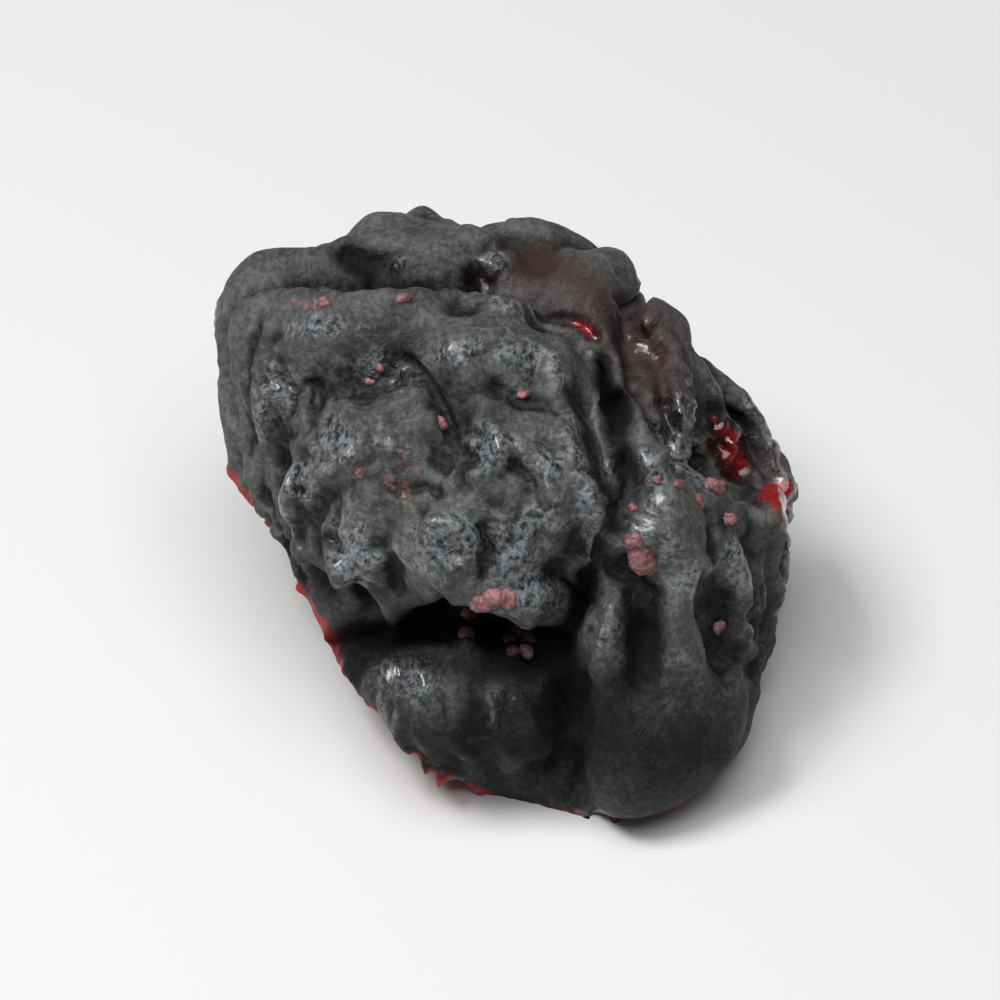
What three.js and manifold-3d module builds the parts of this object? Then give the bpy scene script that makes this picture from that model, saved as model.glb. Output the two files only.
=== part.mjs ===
// Half of a stoned plum, dried until its skin has shrunk into folds and its cut edge has curled under.
// It lies cut side down. Millimetres, +Z up, -Y is its front, and the origin is under the middle of its box.
import * as THREE from "three";
import { mergeVertices } from "three/addons/utils/BufferGeometryUtils.js";
import Module from "manifold-3d";

const wasm = await Module();
wasm.setup();

// Driving dimensions.
const HEIGHT = 28.4; // from the table to the crown
const WIDEST = 21; // mean radius of the plan outline, used to space the profile evenly
const CROWN = new THREE.Vector2(-5, 0); // the crown sits left of the middle
const DETAIL = 20; // icosphere subdivision: 20 * (DETAIL + 1)^2 facets

// The plan outline, every 30 degrees from +X: radius, height of the cut edge, and how full the shoulder is.
// The edge lifts clear of the table on the left and dips a little below it where the fruit is pressed flat.
const OUTLINE = [
  [19.2, 0.6, 0.7],
  [16.8, 1.0, 0.7],
  [17.6, -0.2, 0.8],
  [19.6, -0.9, 0.95],
  [21.0, -0.3, 1.15],
  [19.6, 5.0, 1.4],
  [18.2, 11.0, 1.45],
  [17.2, 10.5, 1.3],
  [18.8, 4.8, 1.15],
  [21.0, -0.6, 1.05],
  [24.1, -1.1, 0.95],
  [20.9, 0.2, 0.85],
];

// Half a section through the fruit, from the crown over the skin, round the curled edge and up into the hollow
// that the stone left: share of the outline's radius, share of the height.
const SECTION = [
  [0, 1],
  [0.3, 0.985],
  [0.56, 0.925],
  [0.77, 0.79],
  [0.915, 0.58],
  [0.985, 0.36],
  [1.0, 0.19],
  [0.965, 0.06],
  [0.9, 0.0],
  [0.84, 0.035],
  [0.77, 0.07],
  [0.68, 0.055],
  [0.57, 0.09],
  [0.42, 0.21],
  [0.2, 0.31],
  [0, 0.33],
];

// Folds and lumps are laid out as an eye sees them: across and up, in millimetres from the point it looks at.
const AIM = new THREE.Vector3(0, 0, 7.5);
const FRONT = eye(0, 42);
const BACK = eye(180, 30);
const RIGHT = eye(90, 15);
const LEFT = eye(-90, 15);

function eye(azimuth, elevation) {
  const turn = THREE.MathUtils.degToRad(azimuth);
  const lift = THREE.MathUtils.degToRad(elevation);
  const across = new THREE.Vector3(Math.cos(turn), Math.sin(turn), 0);
  const towards = new THREE.Vector3(
    Math.sin(turn) * Math.cos(lift),
    -Math.cos(turn) * Math.cos(lift),
    Math.sin(lift),
  );
  return { across, towards, up: new THREE.Vector3().crossVectors(towards, across) };
}

// Creases: where the eye is, the line, how wide the valley is and how deep.
const CREASES = [
  { from: FRONT, line: [[-14.5, 15.6], [-9, 17.2], [-4.5, 16.9], [-0.8, 16.5], [3, 15.3]], width: 2.6, depth: 2.6 },
  { from: FRONT, line: [[3.2, 13.9], [5.8, 13.2], [6.9, 11.5], [6.8, 8.5], [7.6, 6], [8.2, 3.5], [9.2, 1.8]], width: 2.2, depth: 3.8 },
  { from: FRONT, line: [[-11.4, -7.2], [-9, -7.7], [-6, -7.6], [-2, -8.4], [1.5, -8], [4, -6], [6.4, -3.5]], width: 3.6, depth: 4.6 },
  { from: FRONT, line: [[4.6, -7], [5.4, -11], [4.9, -14], [4.4, -17.5]], width: 2.6, depth: 2.8 },
  { from: FRONT, line: [[10.4, -4.6], [10, -7.8], [10.4, -10.6]], width: 2.4, depth: 2.4 },
  { from: FRONT, line: [[14.6, -6], [15.2, -9]], width: 2.4, depth: 1.5 },
  { from: FRONT, line: [[-6.5, 11], [-4.4, 8.7], [-3.3, 6.3], [-2.7, 4]], width: 1.8, depth: 1.2 },
  { from: FRONT, line: [[8.8, 16], [9.2, 12.8], [8.9, 9.1]], width: 1.6, depth: 1.0 },
  { from: FRONT, line: [[9.6, 13], [10.8, 9.1], [11.5, 7], [12.2, 4.2]], width: 1.7, depth: 1.3 },
  { from: FRONT, line: [[15, 7], [15.8, 4.9], [16.6, 2.6]], width: 2.4, depth: 2.0 },
  { from: FRONT, line: [[-17, 12.6], [-17.2, 7.5], [-16, 3], [-14, -2.5], [-12, -6]], width: 1.6, depth: 1.1 },
  { from: BACK, line: [[-11, 4.8], [-8, 3], [-3, -1], [2, -6], [4, -13]], width: 2.8, depth: 2.6 },
  { from: BACK, line: [[12, 11], [9, 6], [8, 0], [10.5, -7]], width: 2.6, depth: 2.4 },
  { from: BACK, line: [[-3, 13], [1, 9], [3, 4]], width: 2.3, depth: 1.8 },
  { from: BACK, line: [[-15, -3], [-10, -7], [-5, -13]], width: 2.3, depth: 1.8 },
  { from: RIGHT, line: [[-8, 10], [-5, 4], [-4.5, -3]], width: 2.4, depth: 2.0 },
  { from: RIGHT, line: [[5, 12], [7, 5], [5.5, -3]], width: 2.5, depth: 2.2 },
  { from: RIGHT, line: [[14, 5], [13, 0], [14.5, -5]], width: 2.2, depth: 1.5 },
  { from: LEFT, line: [[7, 17], [5, 12], [7, 7]], width: 2.2, depth: 1.5 },
  { from: LEFT, line: [[-3, 18], [-5, 13], [-4, 8]], width: 2.2, depth: 1.6 },
  { from: LEFT, line: [[-11, 12], [-12, 6], [-10, 1]], width: 2.2, depth: 1.6 },
];

// Lumps: where the eye is, the middle, the reach each way, its turn in degrees and how high it stands.
const LUMPS = [
  { from: FRONT, at: [-3.4, -12.8], reach: [6.4, 3.8], turn: -6, height: 2.0 },
  { from: FRONT, at: [12, -13.5], reach: [6.6, 7], turn: 20, height: 2.0 },
  { from: FRONT, at: [-5, 12.2], reach: [10, 2.6], turn: -2, height: 1.3 },
  { from: FRONT, at: [-15.3, 8.4], reach: [1.5, 2.6], turn: 10, height: 0.7 },
  { from: FRONT, at: [-11, 4.8], reach: [2.3, 2.2], turn: 0, height: 0.9 },
  { from: FRONT, at: [-13.4, 1.8], reach: [1.7, 1.7], turn: 0, height: 0.6 },
  { from: FRONT, at: [-4.2, -1.2], reach: [3, 2.6], turn: 20, height: 1.2 },
  { from: FRONT, at: [-9.6, -3.6], reach: [1.7, 3.2], turn: 8, height: 1.1 },
  { from: FRONT, at: [-0.5, 4], reach: [2.1, 2.1], turn: 0, height: 0.8 },
  { from: FRONT, at: [0.2, 10], reach: [3.6, 2.2], turn: -15, height: 0.8 },
  { from: FRONT, at: [3.4, 1], reach: [1.7, 3.2], turn: 12, height: 0.9 },
  { from: FRONT, at: [1.4, -3.8], reach: [2.4, 1.9], turn: 0, height: 0.9 },
  { from: FRONT, at: [18, 1.4], reach: [2.4, 3], turn: 0, height: 2.6 },
  { from: FRONT, at: [-16.4, 14.6], reach: [5, 6], turn: -20, height: 3.2 },
  { from: FRONT, at: [8, -17.4], reach: [5, 2.6], turn: 10, height: 1.2 },
  { from: FRONT, at: [-9, 20.6], reach: [5.5, 2.4], turn: 8, height: 0.4 },
  { from: FRONT, at: [3, 20.4], reach: [4.5, 2.4], turn: -10, height: 0.3 },
  { from: FRONT, at: [-12, 19.2], reach: [3, 2], turn: 20, height: 0.9 },
  { from: FRONT, at: [1.8, -18.4], reach: [3.4, 1.6], turn: 0, height: -1.1 },
  { from: BACK, at: [-9, -5], reach: [4, 4.5], turn: 30, height: 1.4 },
  { from: BACK, at: [3, 0], reach: [3.6, 5], turn: -20, height: 0.8 },
  { from: BACK, at: [-4, 7], reach: [4, 3], turn: 20, height: 0.4 },
  { from: RIGHT, at: [1, 3], reach: [3.4, 5], turn: 5, height: 1.2 },
  { from: RIGHT, at: [10, 1], reach: [3, 4.5], turn: -5, height: 0.2 },
];

// Where skin hangs over what is below it: the line along the lip, how wide the lip is and how far it is drawn out.
const LIPS = [
  { line: [[-10.4, -6.4], [-7.6, -5.2], [-5.2, -4.2], [-2, -4.2], [1.3, -5.1], [3.4, -5], [4.6, -3.6]], width: 1.7, push: [0, -1.6, -1.2] },
];

// The valleys under the lips, sunk along the front eye's sight: line, half width, depth.
const VALLEYS = [
  { line: [[-10.2, -8.7], [-8.4, -8.1], [-5.6, -7.7], [-2.4, -7.6], [0.6, -8.1], [3.4, -8.2]], width: 1.8, depth: 3.6 },
  { line: [[3.4, -8.2], [4.6, -6.6], [5.5, -4.9], [6.0, -3.6]], width: 1.3, depth: 2.2 },
];

// Crumbs of dried flesh stuck to the skin: middle as the front eye sees it, size, turn in degrees.
const CRUMBS = [
  { at: [9.1, -2.3], size: [2.4, 3.2], turn: 25 },
  { at: [-0.5, -5.7], size: [3.6, 1.6], turn: 6 },
  { at: [1.4, -8.2], size: [2, 1.7], turn: -20 },
  { at: [14.6, 1.8], size: [2.4, 1.5], turn: 15 },
];
const CRUMB_RISE = 0.5; // half its thickness, of which most shows
const CRUMB_DETAIL = 1;

// Reading a ring of values at any angle, and the section evenly along its length.
const outlineCurve = new THREE.CatmullRomCurve3(
  OUTLINE.map((row) => new THREE.Vector3(...row)),
  true,
  "catmullrom",
);
const sectionCurve = new THREE.CatmullRomCurve3(
  SECTION.map(([out, up]) => new THREE.Vector3(out * WIDEST, up * HEIGHT, 0)),
);
sectionCurve.arcLengthDivisions = 600;

// A point of a unit sphere, moved to the plain form of the fruit.
function onFruit(direction) {
  const angle = Math.atan2(direction.y, direction.x);
  const share = Math.acos(THREE.MathUtils.clamp(direction.z, -1, 1)) / Math.PI;
  const [radius, edge, full] = outlineCurve
    .getPoint(THREE.MathUtils.euclideanModulo(angle / (2 * Math.PI), 1))
    .toArray();
  const along = sectionCurve.getPointAt(share);
  const out = Math.max(along.x / WIDEST, 0);
  const up = along.y / HEIGHT;
  const underneath = share > 0.62;
  const spread = underneath ? out : out ** (1 / full);
  const slide = Math.max(1 - out, 0) ** 1.5;
  return new THREE.Vector3(
    Math.cos(angle) * radius * spread + CROWN.x * slide,
    Math.sin(angle) * radius * spread + CROWN.y * slide,
    HEIGHT * up + edge * (1 - up) * out * out,
  );
}

// Soft rolls all over, so that no stretch of skin is smooth.
function rolls(p) {
  const first = Math.sin(p.x * 0.62 + 1.3 * Math.sin(p.z * 0.31 + 0.4)) * Math.cos(p.y * 0.55 + 0.8);
  const second = Math.sin(p.y * 0.93 - p.z * 0.71 + 1.9 * Math.cos(p.x * 0.27)) * 0.6;
  return 0.42 * (first + second);
}

// Long soft ridges of flesh on the cut side, running the length of the fruit.
function fleshRidges(p) {
  const bend = 1.8 * Math.sin(p.y * 0.19 + 0.7) + 0.5 * Math.sin(p.y * 0.43);
  return 0.5 * Math.sin((p.x + bend) * 1.05) + 0.25 * Math.sin((p.x - bend) * 0.6 + p.y * 0.5);
}

function shapeGeometry(source, place) {
  const bare = new THREE.BufferGeometry().setAttribute("position", source.getAttribute("position").clone());
  if (source.index) bare.setIndex(source.index);
  const merged = mergeVertices(bare, 1e-4);
  const position = merged.getAttribute("position");
  const point = new THREE.Vector3();
  for (let i = 0; i < position.count; i++) {
    position.setXYZ(i, ...place(point.fromBufferAttribute(position, i), i).toArray());
  }
  merged.computeVertexNormals();
  return merged;
}

// Where an eye's line of sight first meets the fruit, or, just outside its outline, the nearest point to that line.
const caster = new THREE.Raycaster();
function seenPoint(mesh, from, [across, up]) {
  const target = AIM.clone().addScaledVector(from.across, across).addScaledVector(from.up, up);
  caster.set(target.addScaledVector(from.towards, 100), from.towards.clone().negate());
  const hit = caster.intersectObject(mesh)[0];
  if (hit) return { point: hit.point, normal: hit.face.normal };
  const points = mesh.geometry.getAttribute("position");
  const point = new THREE.Vector3();
  const nearest = { distance: Infinity, point: new THREE.Vector3() };
  for (let i = 0; i < points.count; i++) {
    const distance = caster.ray.distanceSqToPoint(point.fromBufferAttribute(points, i));
    if (distance < nearest.distance) {
      nearest.distance = distance;
      nearest.point.copy(point);
    }
  }
  return nearest;
}

// The least distance to a line, and the place of its nearest point, from 0 to 1 along the line.
function nearestOn(line, point) {
  const best = { distance: Infinity, place: 0 };
  const foot = new THREE.Vector3();
  for (let i = 1; i < line.length; i++) {
    const piece = new THREE.Line3(line[i - 1], line[i]);
    const along = piece.closestPointToPointParameter(point, true);
    const distance = piece.at(along, foot).distanceTo(point);
    if (distance < best.distance) {
      best.distance = distance;
      best.place = (i - 1 + along) / (line.length - 1);
    }
  }
  return best;
}

// How much of a crease's depth a point gets: 1 on the line, 0 at its width and beyond.
function creaseShare(point, line, width) {
  const share = Math.max(1 - nearestOn(line, point).distance / (1.6 * width), 0);
  return share * share * (3 - 2 * share);
}

// 1 along a line, and less by a share at its two ends.
function fading(place, share) {
  const ends = THREE.MathUtils.smoothstep(place, -0.02, 0.14) * (1 - THREE.MathUtils.smoothstep(place, 0.86, 1.02));
  return 1 - share + share * ends;
}

function lumpShare(point, lump) {
  const away = point.clone().sub(lump.middle);
  const turn = THREE.MathUtils.degToRad(lump.turn);
  const a = away.dot(lump.from.across);
  const b = away.dot(lump.from.up);
  const c = away.dot(lump.from.towards) / (1.5 * Math.max(...lump.reach));
  const u = (a * Math.cos(turn) + b * Math.sin(turn)) / lump.reach[0];
  const v = (b * Math.cos(turn) - a * Math.sin(turn)) / lump.reach[1];
  return Math.exp(-(u * u + v * v + c * c));
}

// The plain form first, then its rolls, lumps and creases pushed along the normal.
function driedFruit() {
  const ball = new THREE.IcosahedronGeometry(1, DETAIL);
  const plain = meshOf(shapeGeometry(ball, onFruit));
  const creases = CREASES.map((c) => ({ ...c, drawn: c.line.map((p) => seenPoint(plain, c.from, p).point) }));
  const lumps = LUMPS.map((l) => ({ ...l, middle: seenPoint(plain, l.from, l.at).point }));
  const spheres = shapeGeometry(ball, (p) => p.clone()).getAttribute("position");
  const normals = plain.geometry.getAttribute("normal");
  const direction = new THREE.Vector3();
  const normal = new THREE.Vector3();
  return shapeGeometry(ball, (p, i) => {
    direction.fromBufferAttribute(spheres, i);
    normal.fromBufferAttribute(normals, i);
    const at = onFruit(direction);
    const share = Math.acos(THREE.MathUtils.clamp(direction.z, -1, 1)) / Math.PI;
    const skin = 1 - THREE.MathUtils.smoothstep(share, 0.58, 0.66);
    const flesh = THREE.MathUtils.smoothstep(share, 0.68, 0.78);
    let push = skin * rolls(at) + flesh * fleshRidges(at);
    for (const lump of lumps) push += skin * lump.height * lumpShare(at, lump);
    for (const crease of creases) push -= skin * crease.depth * creaseShare(at, crease.drawn, crease.width);
    return at.addScaledVector(normal, push);
  });
}

// The lips drawn out over their valleys, then the valleys sunk.
function overhung(geometry) {
  const laid = (mesh, line) => line.map((p) => seenPoint(mesh, FRONT, p).point);
  const whole = meshOf(geometry);
  const lips = LIPS.map((lip) => ({ ...lip, drawn: laid(whole, lip.line), push: new THREE.Vector3(...lip.push) }));
  const drawnOut = meshOf(
    shapeGeometry(geometry, (point) => {
      const at = point.clone();
      for (const lip of lips) {
        const { distance, place } = nearestOn(lip.drawn, point);
        at.addScaledVector(lip.push, Math.exp(-((distance / lip.width) ** 2)) * fading(place, 0.8));
      }
      return at;
    }),
  );
  const valleys = VALLEYS.map((valley) => ({ ...valley, drawn: laid(drawnOut, valley.line) }));
  return shapeGeometry(drawnOut.geometry, (point) => {
    const at = point.clone();
    for (const valley of valleys) {
      const { distance, place } = nearestOn(valley.drawn, point);
      const share = Math.exp(-((distance / (valley.width * fading(place, 0.45))) ** 2));
      at.addScaledVector(FRONT.towards, -valley.depth * share);
    }
    return at;
  });
}

function meshOf(geometry) {
  return new THREE.Mesh(geometry, new THREE.MeshBasicMaterial({ side: THREE.DoubleSide }));
}

function solidOf(geometry) {
  const bare = new THREE.BufferGeometry().setAttribute("position", geometry.getAttribute("position"));
  if (geometry.index) bare.setIndex(geometry.index);
  const merged = mergeVertices(bare, 1e-4);
  return new wasm.Manifold(
    new wasm.Mesh({
      numProp: 3,
      vertProperties: new Float32Array(merged.getAttribute("position").array),
      triVerts: new Uint32Array(merged.index.array),
    }),
  );
}

function geometryOf(solid) {
  const mesh = solid.getMesh();
  const geometry = new THREE.BufferGeometry();
  geometry.setAttribute("position", new THREE.BufferAttribute(mesh.vertProperties, 3));
  geometry.setIndex(new THREE.BufferAttribute(mesh.triVerts, 1));
  geometry.computeVertexNormals();
  return geometry;
}

// A flat little flake, sunk to its middle in the skin where the front eye sees it.
function crumbSolid(skinMesh, crumb) {
  const { point, normal } = seenPoint(skinMesh, FRONT, crumb.at);
  const flake = new THREE.IcosahedronGeometry(1, CRUMB_DETAIL);
  flake.scale(crumb.size[0] / 2, crumb.size[1] / 2, CRUMB_RISE);
  flake.rotateZ(THREE.MathUtils.degToRad(crumb.turn));
  const facing = normal.clone().add(FRONT.towards).normalize();
  const lie = new THREE.Quaternion().setFromUnitVectors(new THREE.Vector3(0, 0, 1), facing);
  flake.applyQuaternion(lie);
  flake.translate(...point.toArray());
  return solidOf(flake);
}

const shaped = overhung(driedFruit());
const shapedMesh = meshOf(shaped);
let fruit = solidOf(shaped);
for (const crumb of CRUMBS) fruit = fruit.add(crumbSolid(shapedMesh, crumb));

// The table has pressed small flats where the edge touched it.
const TABLE = 80;
const table = new THREE.BoxGeometry(TABLE, TABLE, TABLE).translate(0, 0, -TABLE / 2);
fruit = fruit.subtract(solidOf(table));

const skin = new THREE.MeshStandardMaterial({ color: 0x23211f, roughness: 0.45, metalness: 0 });
const plum = new THREE.Mesh(geometryOf(fruit), skin);
plum.name = "dried_plum";
const middle = new THREE.Box3().setFromObject(plum).getCenter(new THREE.Vector3());
plum.position.set(-middle.x, -middle.y, 0);

const group = new THREE.Group();
group.add(plum);
export default group;
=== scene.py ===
# Half of a stoned plum, dried until its skin has buckled into folds and its cut edge has curled under.
# The form is grown from a ball of quads in millimetres, wrinkled by letting the skin buckle on the flesh,
# and finished with one procedural material that reads masks stored on the mesh.
import math

import bpy
import numpy as np
from bpy.props import FloatProperty, FloatVectorProperty, IntProperty, PointerProperty
from mathutils import Matrix, Vector, noise
from mathutils.bvhtree import BVHTree


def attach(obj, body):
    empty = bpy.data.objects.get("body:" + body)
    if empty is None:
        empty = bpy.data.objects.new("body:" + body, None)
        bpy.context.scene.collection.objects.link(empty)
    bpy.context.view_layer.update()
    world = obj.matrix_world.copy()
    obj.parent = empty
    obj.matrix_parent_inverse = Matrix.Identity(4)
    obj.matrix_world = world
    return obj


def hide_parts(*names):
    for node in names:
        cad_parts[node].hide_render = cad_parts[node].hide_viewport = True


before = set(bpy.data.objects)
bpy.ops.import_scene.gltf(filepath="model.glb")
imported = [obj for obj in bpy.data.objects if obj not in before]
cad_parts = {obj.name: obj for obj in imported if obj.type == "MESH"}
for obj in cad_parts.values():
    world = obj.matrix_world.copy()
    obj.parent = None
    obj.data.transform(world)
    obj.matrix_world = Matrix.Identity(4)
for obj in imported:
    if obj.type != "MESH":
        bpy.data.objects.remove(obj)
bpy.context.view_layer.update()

bl_info = {
    "name": "Dried Plum Half",
    "version": (1, 0, 0),
    "blender": (4, 5, 0),
    "location": "View3D > Sidebar > Dried Plum",
    "description": "Builds a dried plum half with buckled skin, a torn red edge and a flesh side",
    "category": "Object",
}

MM = 0.001
SHIFT = np.array((-0.112, 2.361, 0.0))  # from the fruit's own centre to the middle of the frame's box, in mm
FAR = 100  # how far away an eye's line of sight starts, in mm

# Plan outline, every 30 degrees from +X: radius, height of the cut edge, how full the shoulder is.
OUTLINE = np.array([
    [19.2, 0.6, 0.7], [16.8, 1.0, 0.7], [17.6, -0.2, 0.8], [19.6, -0.9, 0.95], [21.0, -0.3, 1.15],
    [19.6, 5.0, 1.4], [18.2, 11.0, 1.45], [17.2, 10.5, 1.3], [18.8, 4.8, 1.15], [21.0, -0.6, 1.05],
    [24.1, -1.1, 0.95], [20.9, 0.2, 0.85],
])
# Half a section from the crown over the skin, round the curled edge and up into the stone's hollow.
SECTION = np.array([
    [0, 1], [0.3, 0.985], [0.56, 0.925], [0.77, 0.79], [0.915, 0.58], [0.985, 0.36], [1.0, 0.19],
    [0.965, 0.06], [0.9, 0.0], [0.84, 0.035], [0.77, 0.07], [0.68, 0.055], [0.57, 0.09], [0.42, 0.21],
    [0.2, 0.31], [0, 0.33],
])
WIDEST = 21.0
SECTION_STEPS = 1500
CURL = 0.62  # how far down the section the skin has curled right under
# How far down the section the skin was cut, every 15 degrees from +X.
EDGE = (
    0.63, 0.63, 0.64, 0.64, 0.64, 0.64, 0.64, 0.64, 0.64, 0.64, 0.62, 0.572,
    0.573, 0.600, 0.617, 0.637, 0.634, 0.594, 0.644, 0.636, 0.616, 0.634, 0.638, 0.64,
)
CROWN = np.array((-5.0, 0.0))
AIM = np.array((0.0, 0.0, 7.5))


def eye(azimuth, elevation):
    turn, lift = math.radians(azimuth), math.radians(elevation)
    across = np.array((math.cos(turn), math.sin(turn), 0.0))
    towards = np.array((math.sin(turn) * math.cos(lift), -math.cos(turn) * math.cos(lift), math.sin(lift)))
    return {"across": across, "towards": towards, "up": np.cross(towards, across)}


FRONT, BACK, RIGHT, LEFT = eye(0, 42), eye(180, 30), eye(90, 15), eye(-90, 15)

# Main creases: eye, line across and up in millimetres, width, depth.
CREASES = [
    (FRONT, [(-14.5, 15.6), (-9, 17.2), (-4.5, 16.9), (-0.8, 16.5), (3, 15.3)], 2.6, 2.6),
    (FRONT, [(3.2, 13.9), (5.8, 13.2), (6.9, 11.5), (6.8, 8.5), (7.6, 6), (8.2, 3.5),
     (9.2, 1.8)], 2.2, 2.4),
    (FRONT, [(-11.4, -7.2), (-9, -7.7), (-6, -7.6), (-2, -8.4), (1.5, -8), (4, -6), (6.4, -3.5)], 3.6, 4.6),
    (FRONT, [(4.6, -7), (5.4, -11), (4.9, -14), (4.4, -17.5)], 2.6, 2.8),
    (FRONT, [(10.4, -4.6), (10, -7.8), (10.4, -10.6)], 2.4, 2.4),
    (FRONT, [(14.6, -6), (15.2, -9)], 2.4, 1.5),
    (FRONT, [(-6.5, 11), (-4.4, 8.7), (-3.3, 6.3), (-2.7, 4)], 1.8, 1.2),
    (FRONT, [(8.8, 16), (9.2, 12.8), (8.9, 9.1)], 1.6, 1.0),
    (FRONT, [(9.6, 13), (10.8, 9.1), (11.5, 7), (12.2, 4.2)], 1.7, 1.3),
    (FRONT, [(15, 7), (15.8, 4.9), (16.6, 2.6)], 2.4, 2.0),
    (FRONT, [(-17, 12.6), (-17.2, 7.5), (-16, 3), (-14, -2.5), (-12, -6)], 1.6, 1.1),
    (BACK, [(-11, 4.8), (-8, 3), (-3, -1), (2, -6), (4, -13)], 2.8, 2.6),
    (BACK, [(12, 11), (9, 6), (8, 0), (10.5, -7)], 2.6, 2.4), (BACK, [(-3, 13), (1, 9), (3, 4)], 2.3, 1.8),
    (BACK, [(-15, -3), (-10, -7), (-5, -13)], 2.3, 1.8), (RIGHT, [(-8, 10), (-5, 4), (-4.5, -3)], 2.4, 2.0),
    (RIGHT, [(5, 12), (7, 5), (5.5, -3)], 2.5, 2.2), (RIGHT, [(14, 5), (13, 0), (14.5, -5)], 2.2, 1.5),
    (LEFT, [(7, 17), (5, 12), (7, 7)], 2.2, 1.5), (LEFT, [(-3, 18), (-5, 13), (-4, 8)], 2.2, 1.6),
    (LEFT, [(-11, 12), (-12, 6), (-10, 1)], 2.2, 1.6),
]
# Main lumps: eye, middle, reach each way, turn in degrees, height.
LUMPS = [
    (FRONT, (-3.4, -12.8), (6.4, 3.8), -6, 2.0), (FRONT, (12, -13.5), (6.6, 7), 20, 2.0),
    (FRONT, (-5, 12.2), (10, 2.6), -2, 1.3), (FRONT, (-15.3, 8.4), (1.5, 2.6), 10, 0.7),
    (FRONT, (-11, 4.8), (2.3, 2.2), 0, 0.9), (FRONT, (-13.4, 1.8), (1.7, 1.7), 0, 0.6),
    (FRONT, (-4.2, -1.2), (3, 2.6), 20, 1.2), (FRONT, (-9.6, -3.6), (1.7, 3.2), 8, 1.1),
    (FRONT, (-0.5, 4), (2.1, 2.1), 0, 0.8), (FRONT, (0.2, 10), (3.6, 2.2), -15, 0.8),
    (FRONT, (3.4, 1), (1.7, 3.2), 12, 0.9), (FRONT, (1.4, -3.8), (2.4, 1.9), 0, 0.9),
    (FRONT, (18, 1.4), (2.4, 3), 0, 2.6), (FRONT, (-16.4, 14.6), (5, 6), -20, 3.2),
    (FRONT, (8, -17.4), (5, 2.6), 10, 1.2), (FRONT, (-9, 20.6), (5.5, 2.4), 8, -0.6),
    (FRONT, (3, 20.4), (4.5, 2.4), -10, 0.3), (FRONT, (-12, 19.2), (3, 2), 20, 0.9),
    (FRONT, (1.8, -18.4), (3.4, 1.6), 0, -1.1), (BACK, (-9, -5), (4, 4.5), 30, 1.4),
    (BACK, (3, 0), (3.6, 5), -20, 0.8), (BACK, (-4, 7), (4, 3), 20, 0.4), (RIGHT, (1, 3), (3.4, 5), 5, 1.2),
    (RIGHT, (10, 1), (3, 4.5), -5, 0.2),
]
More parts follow.
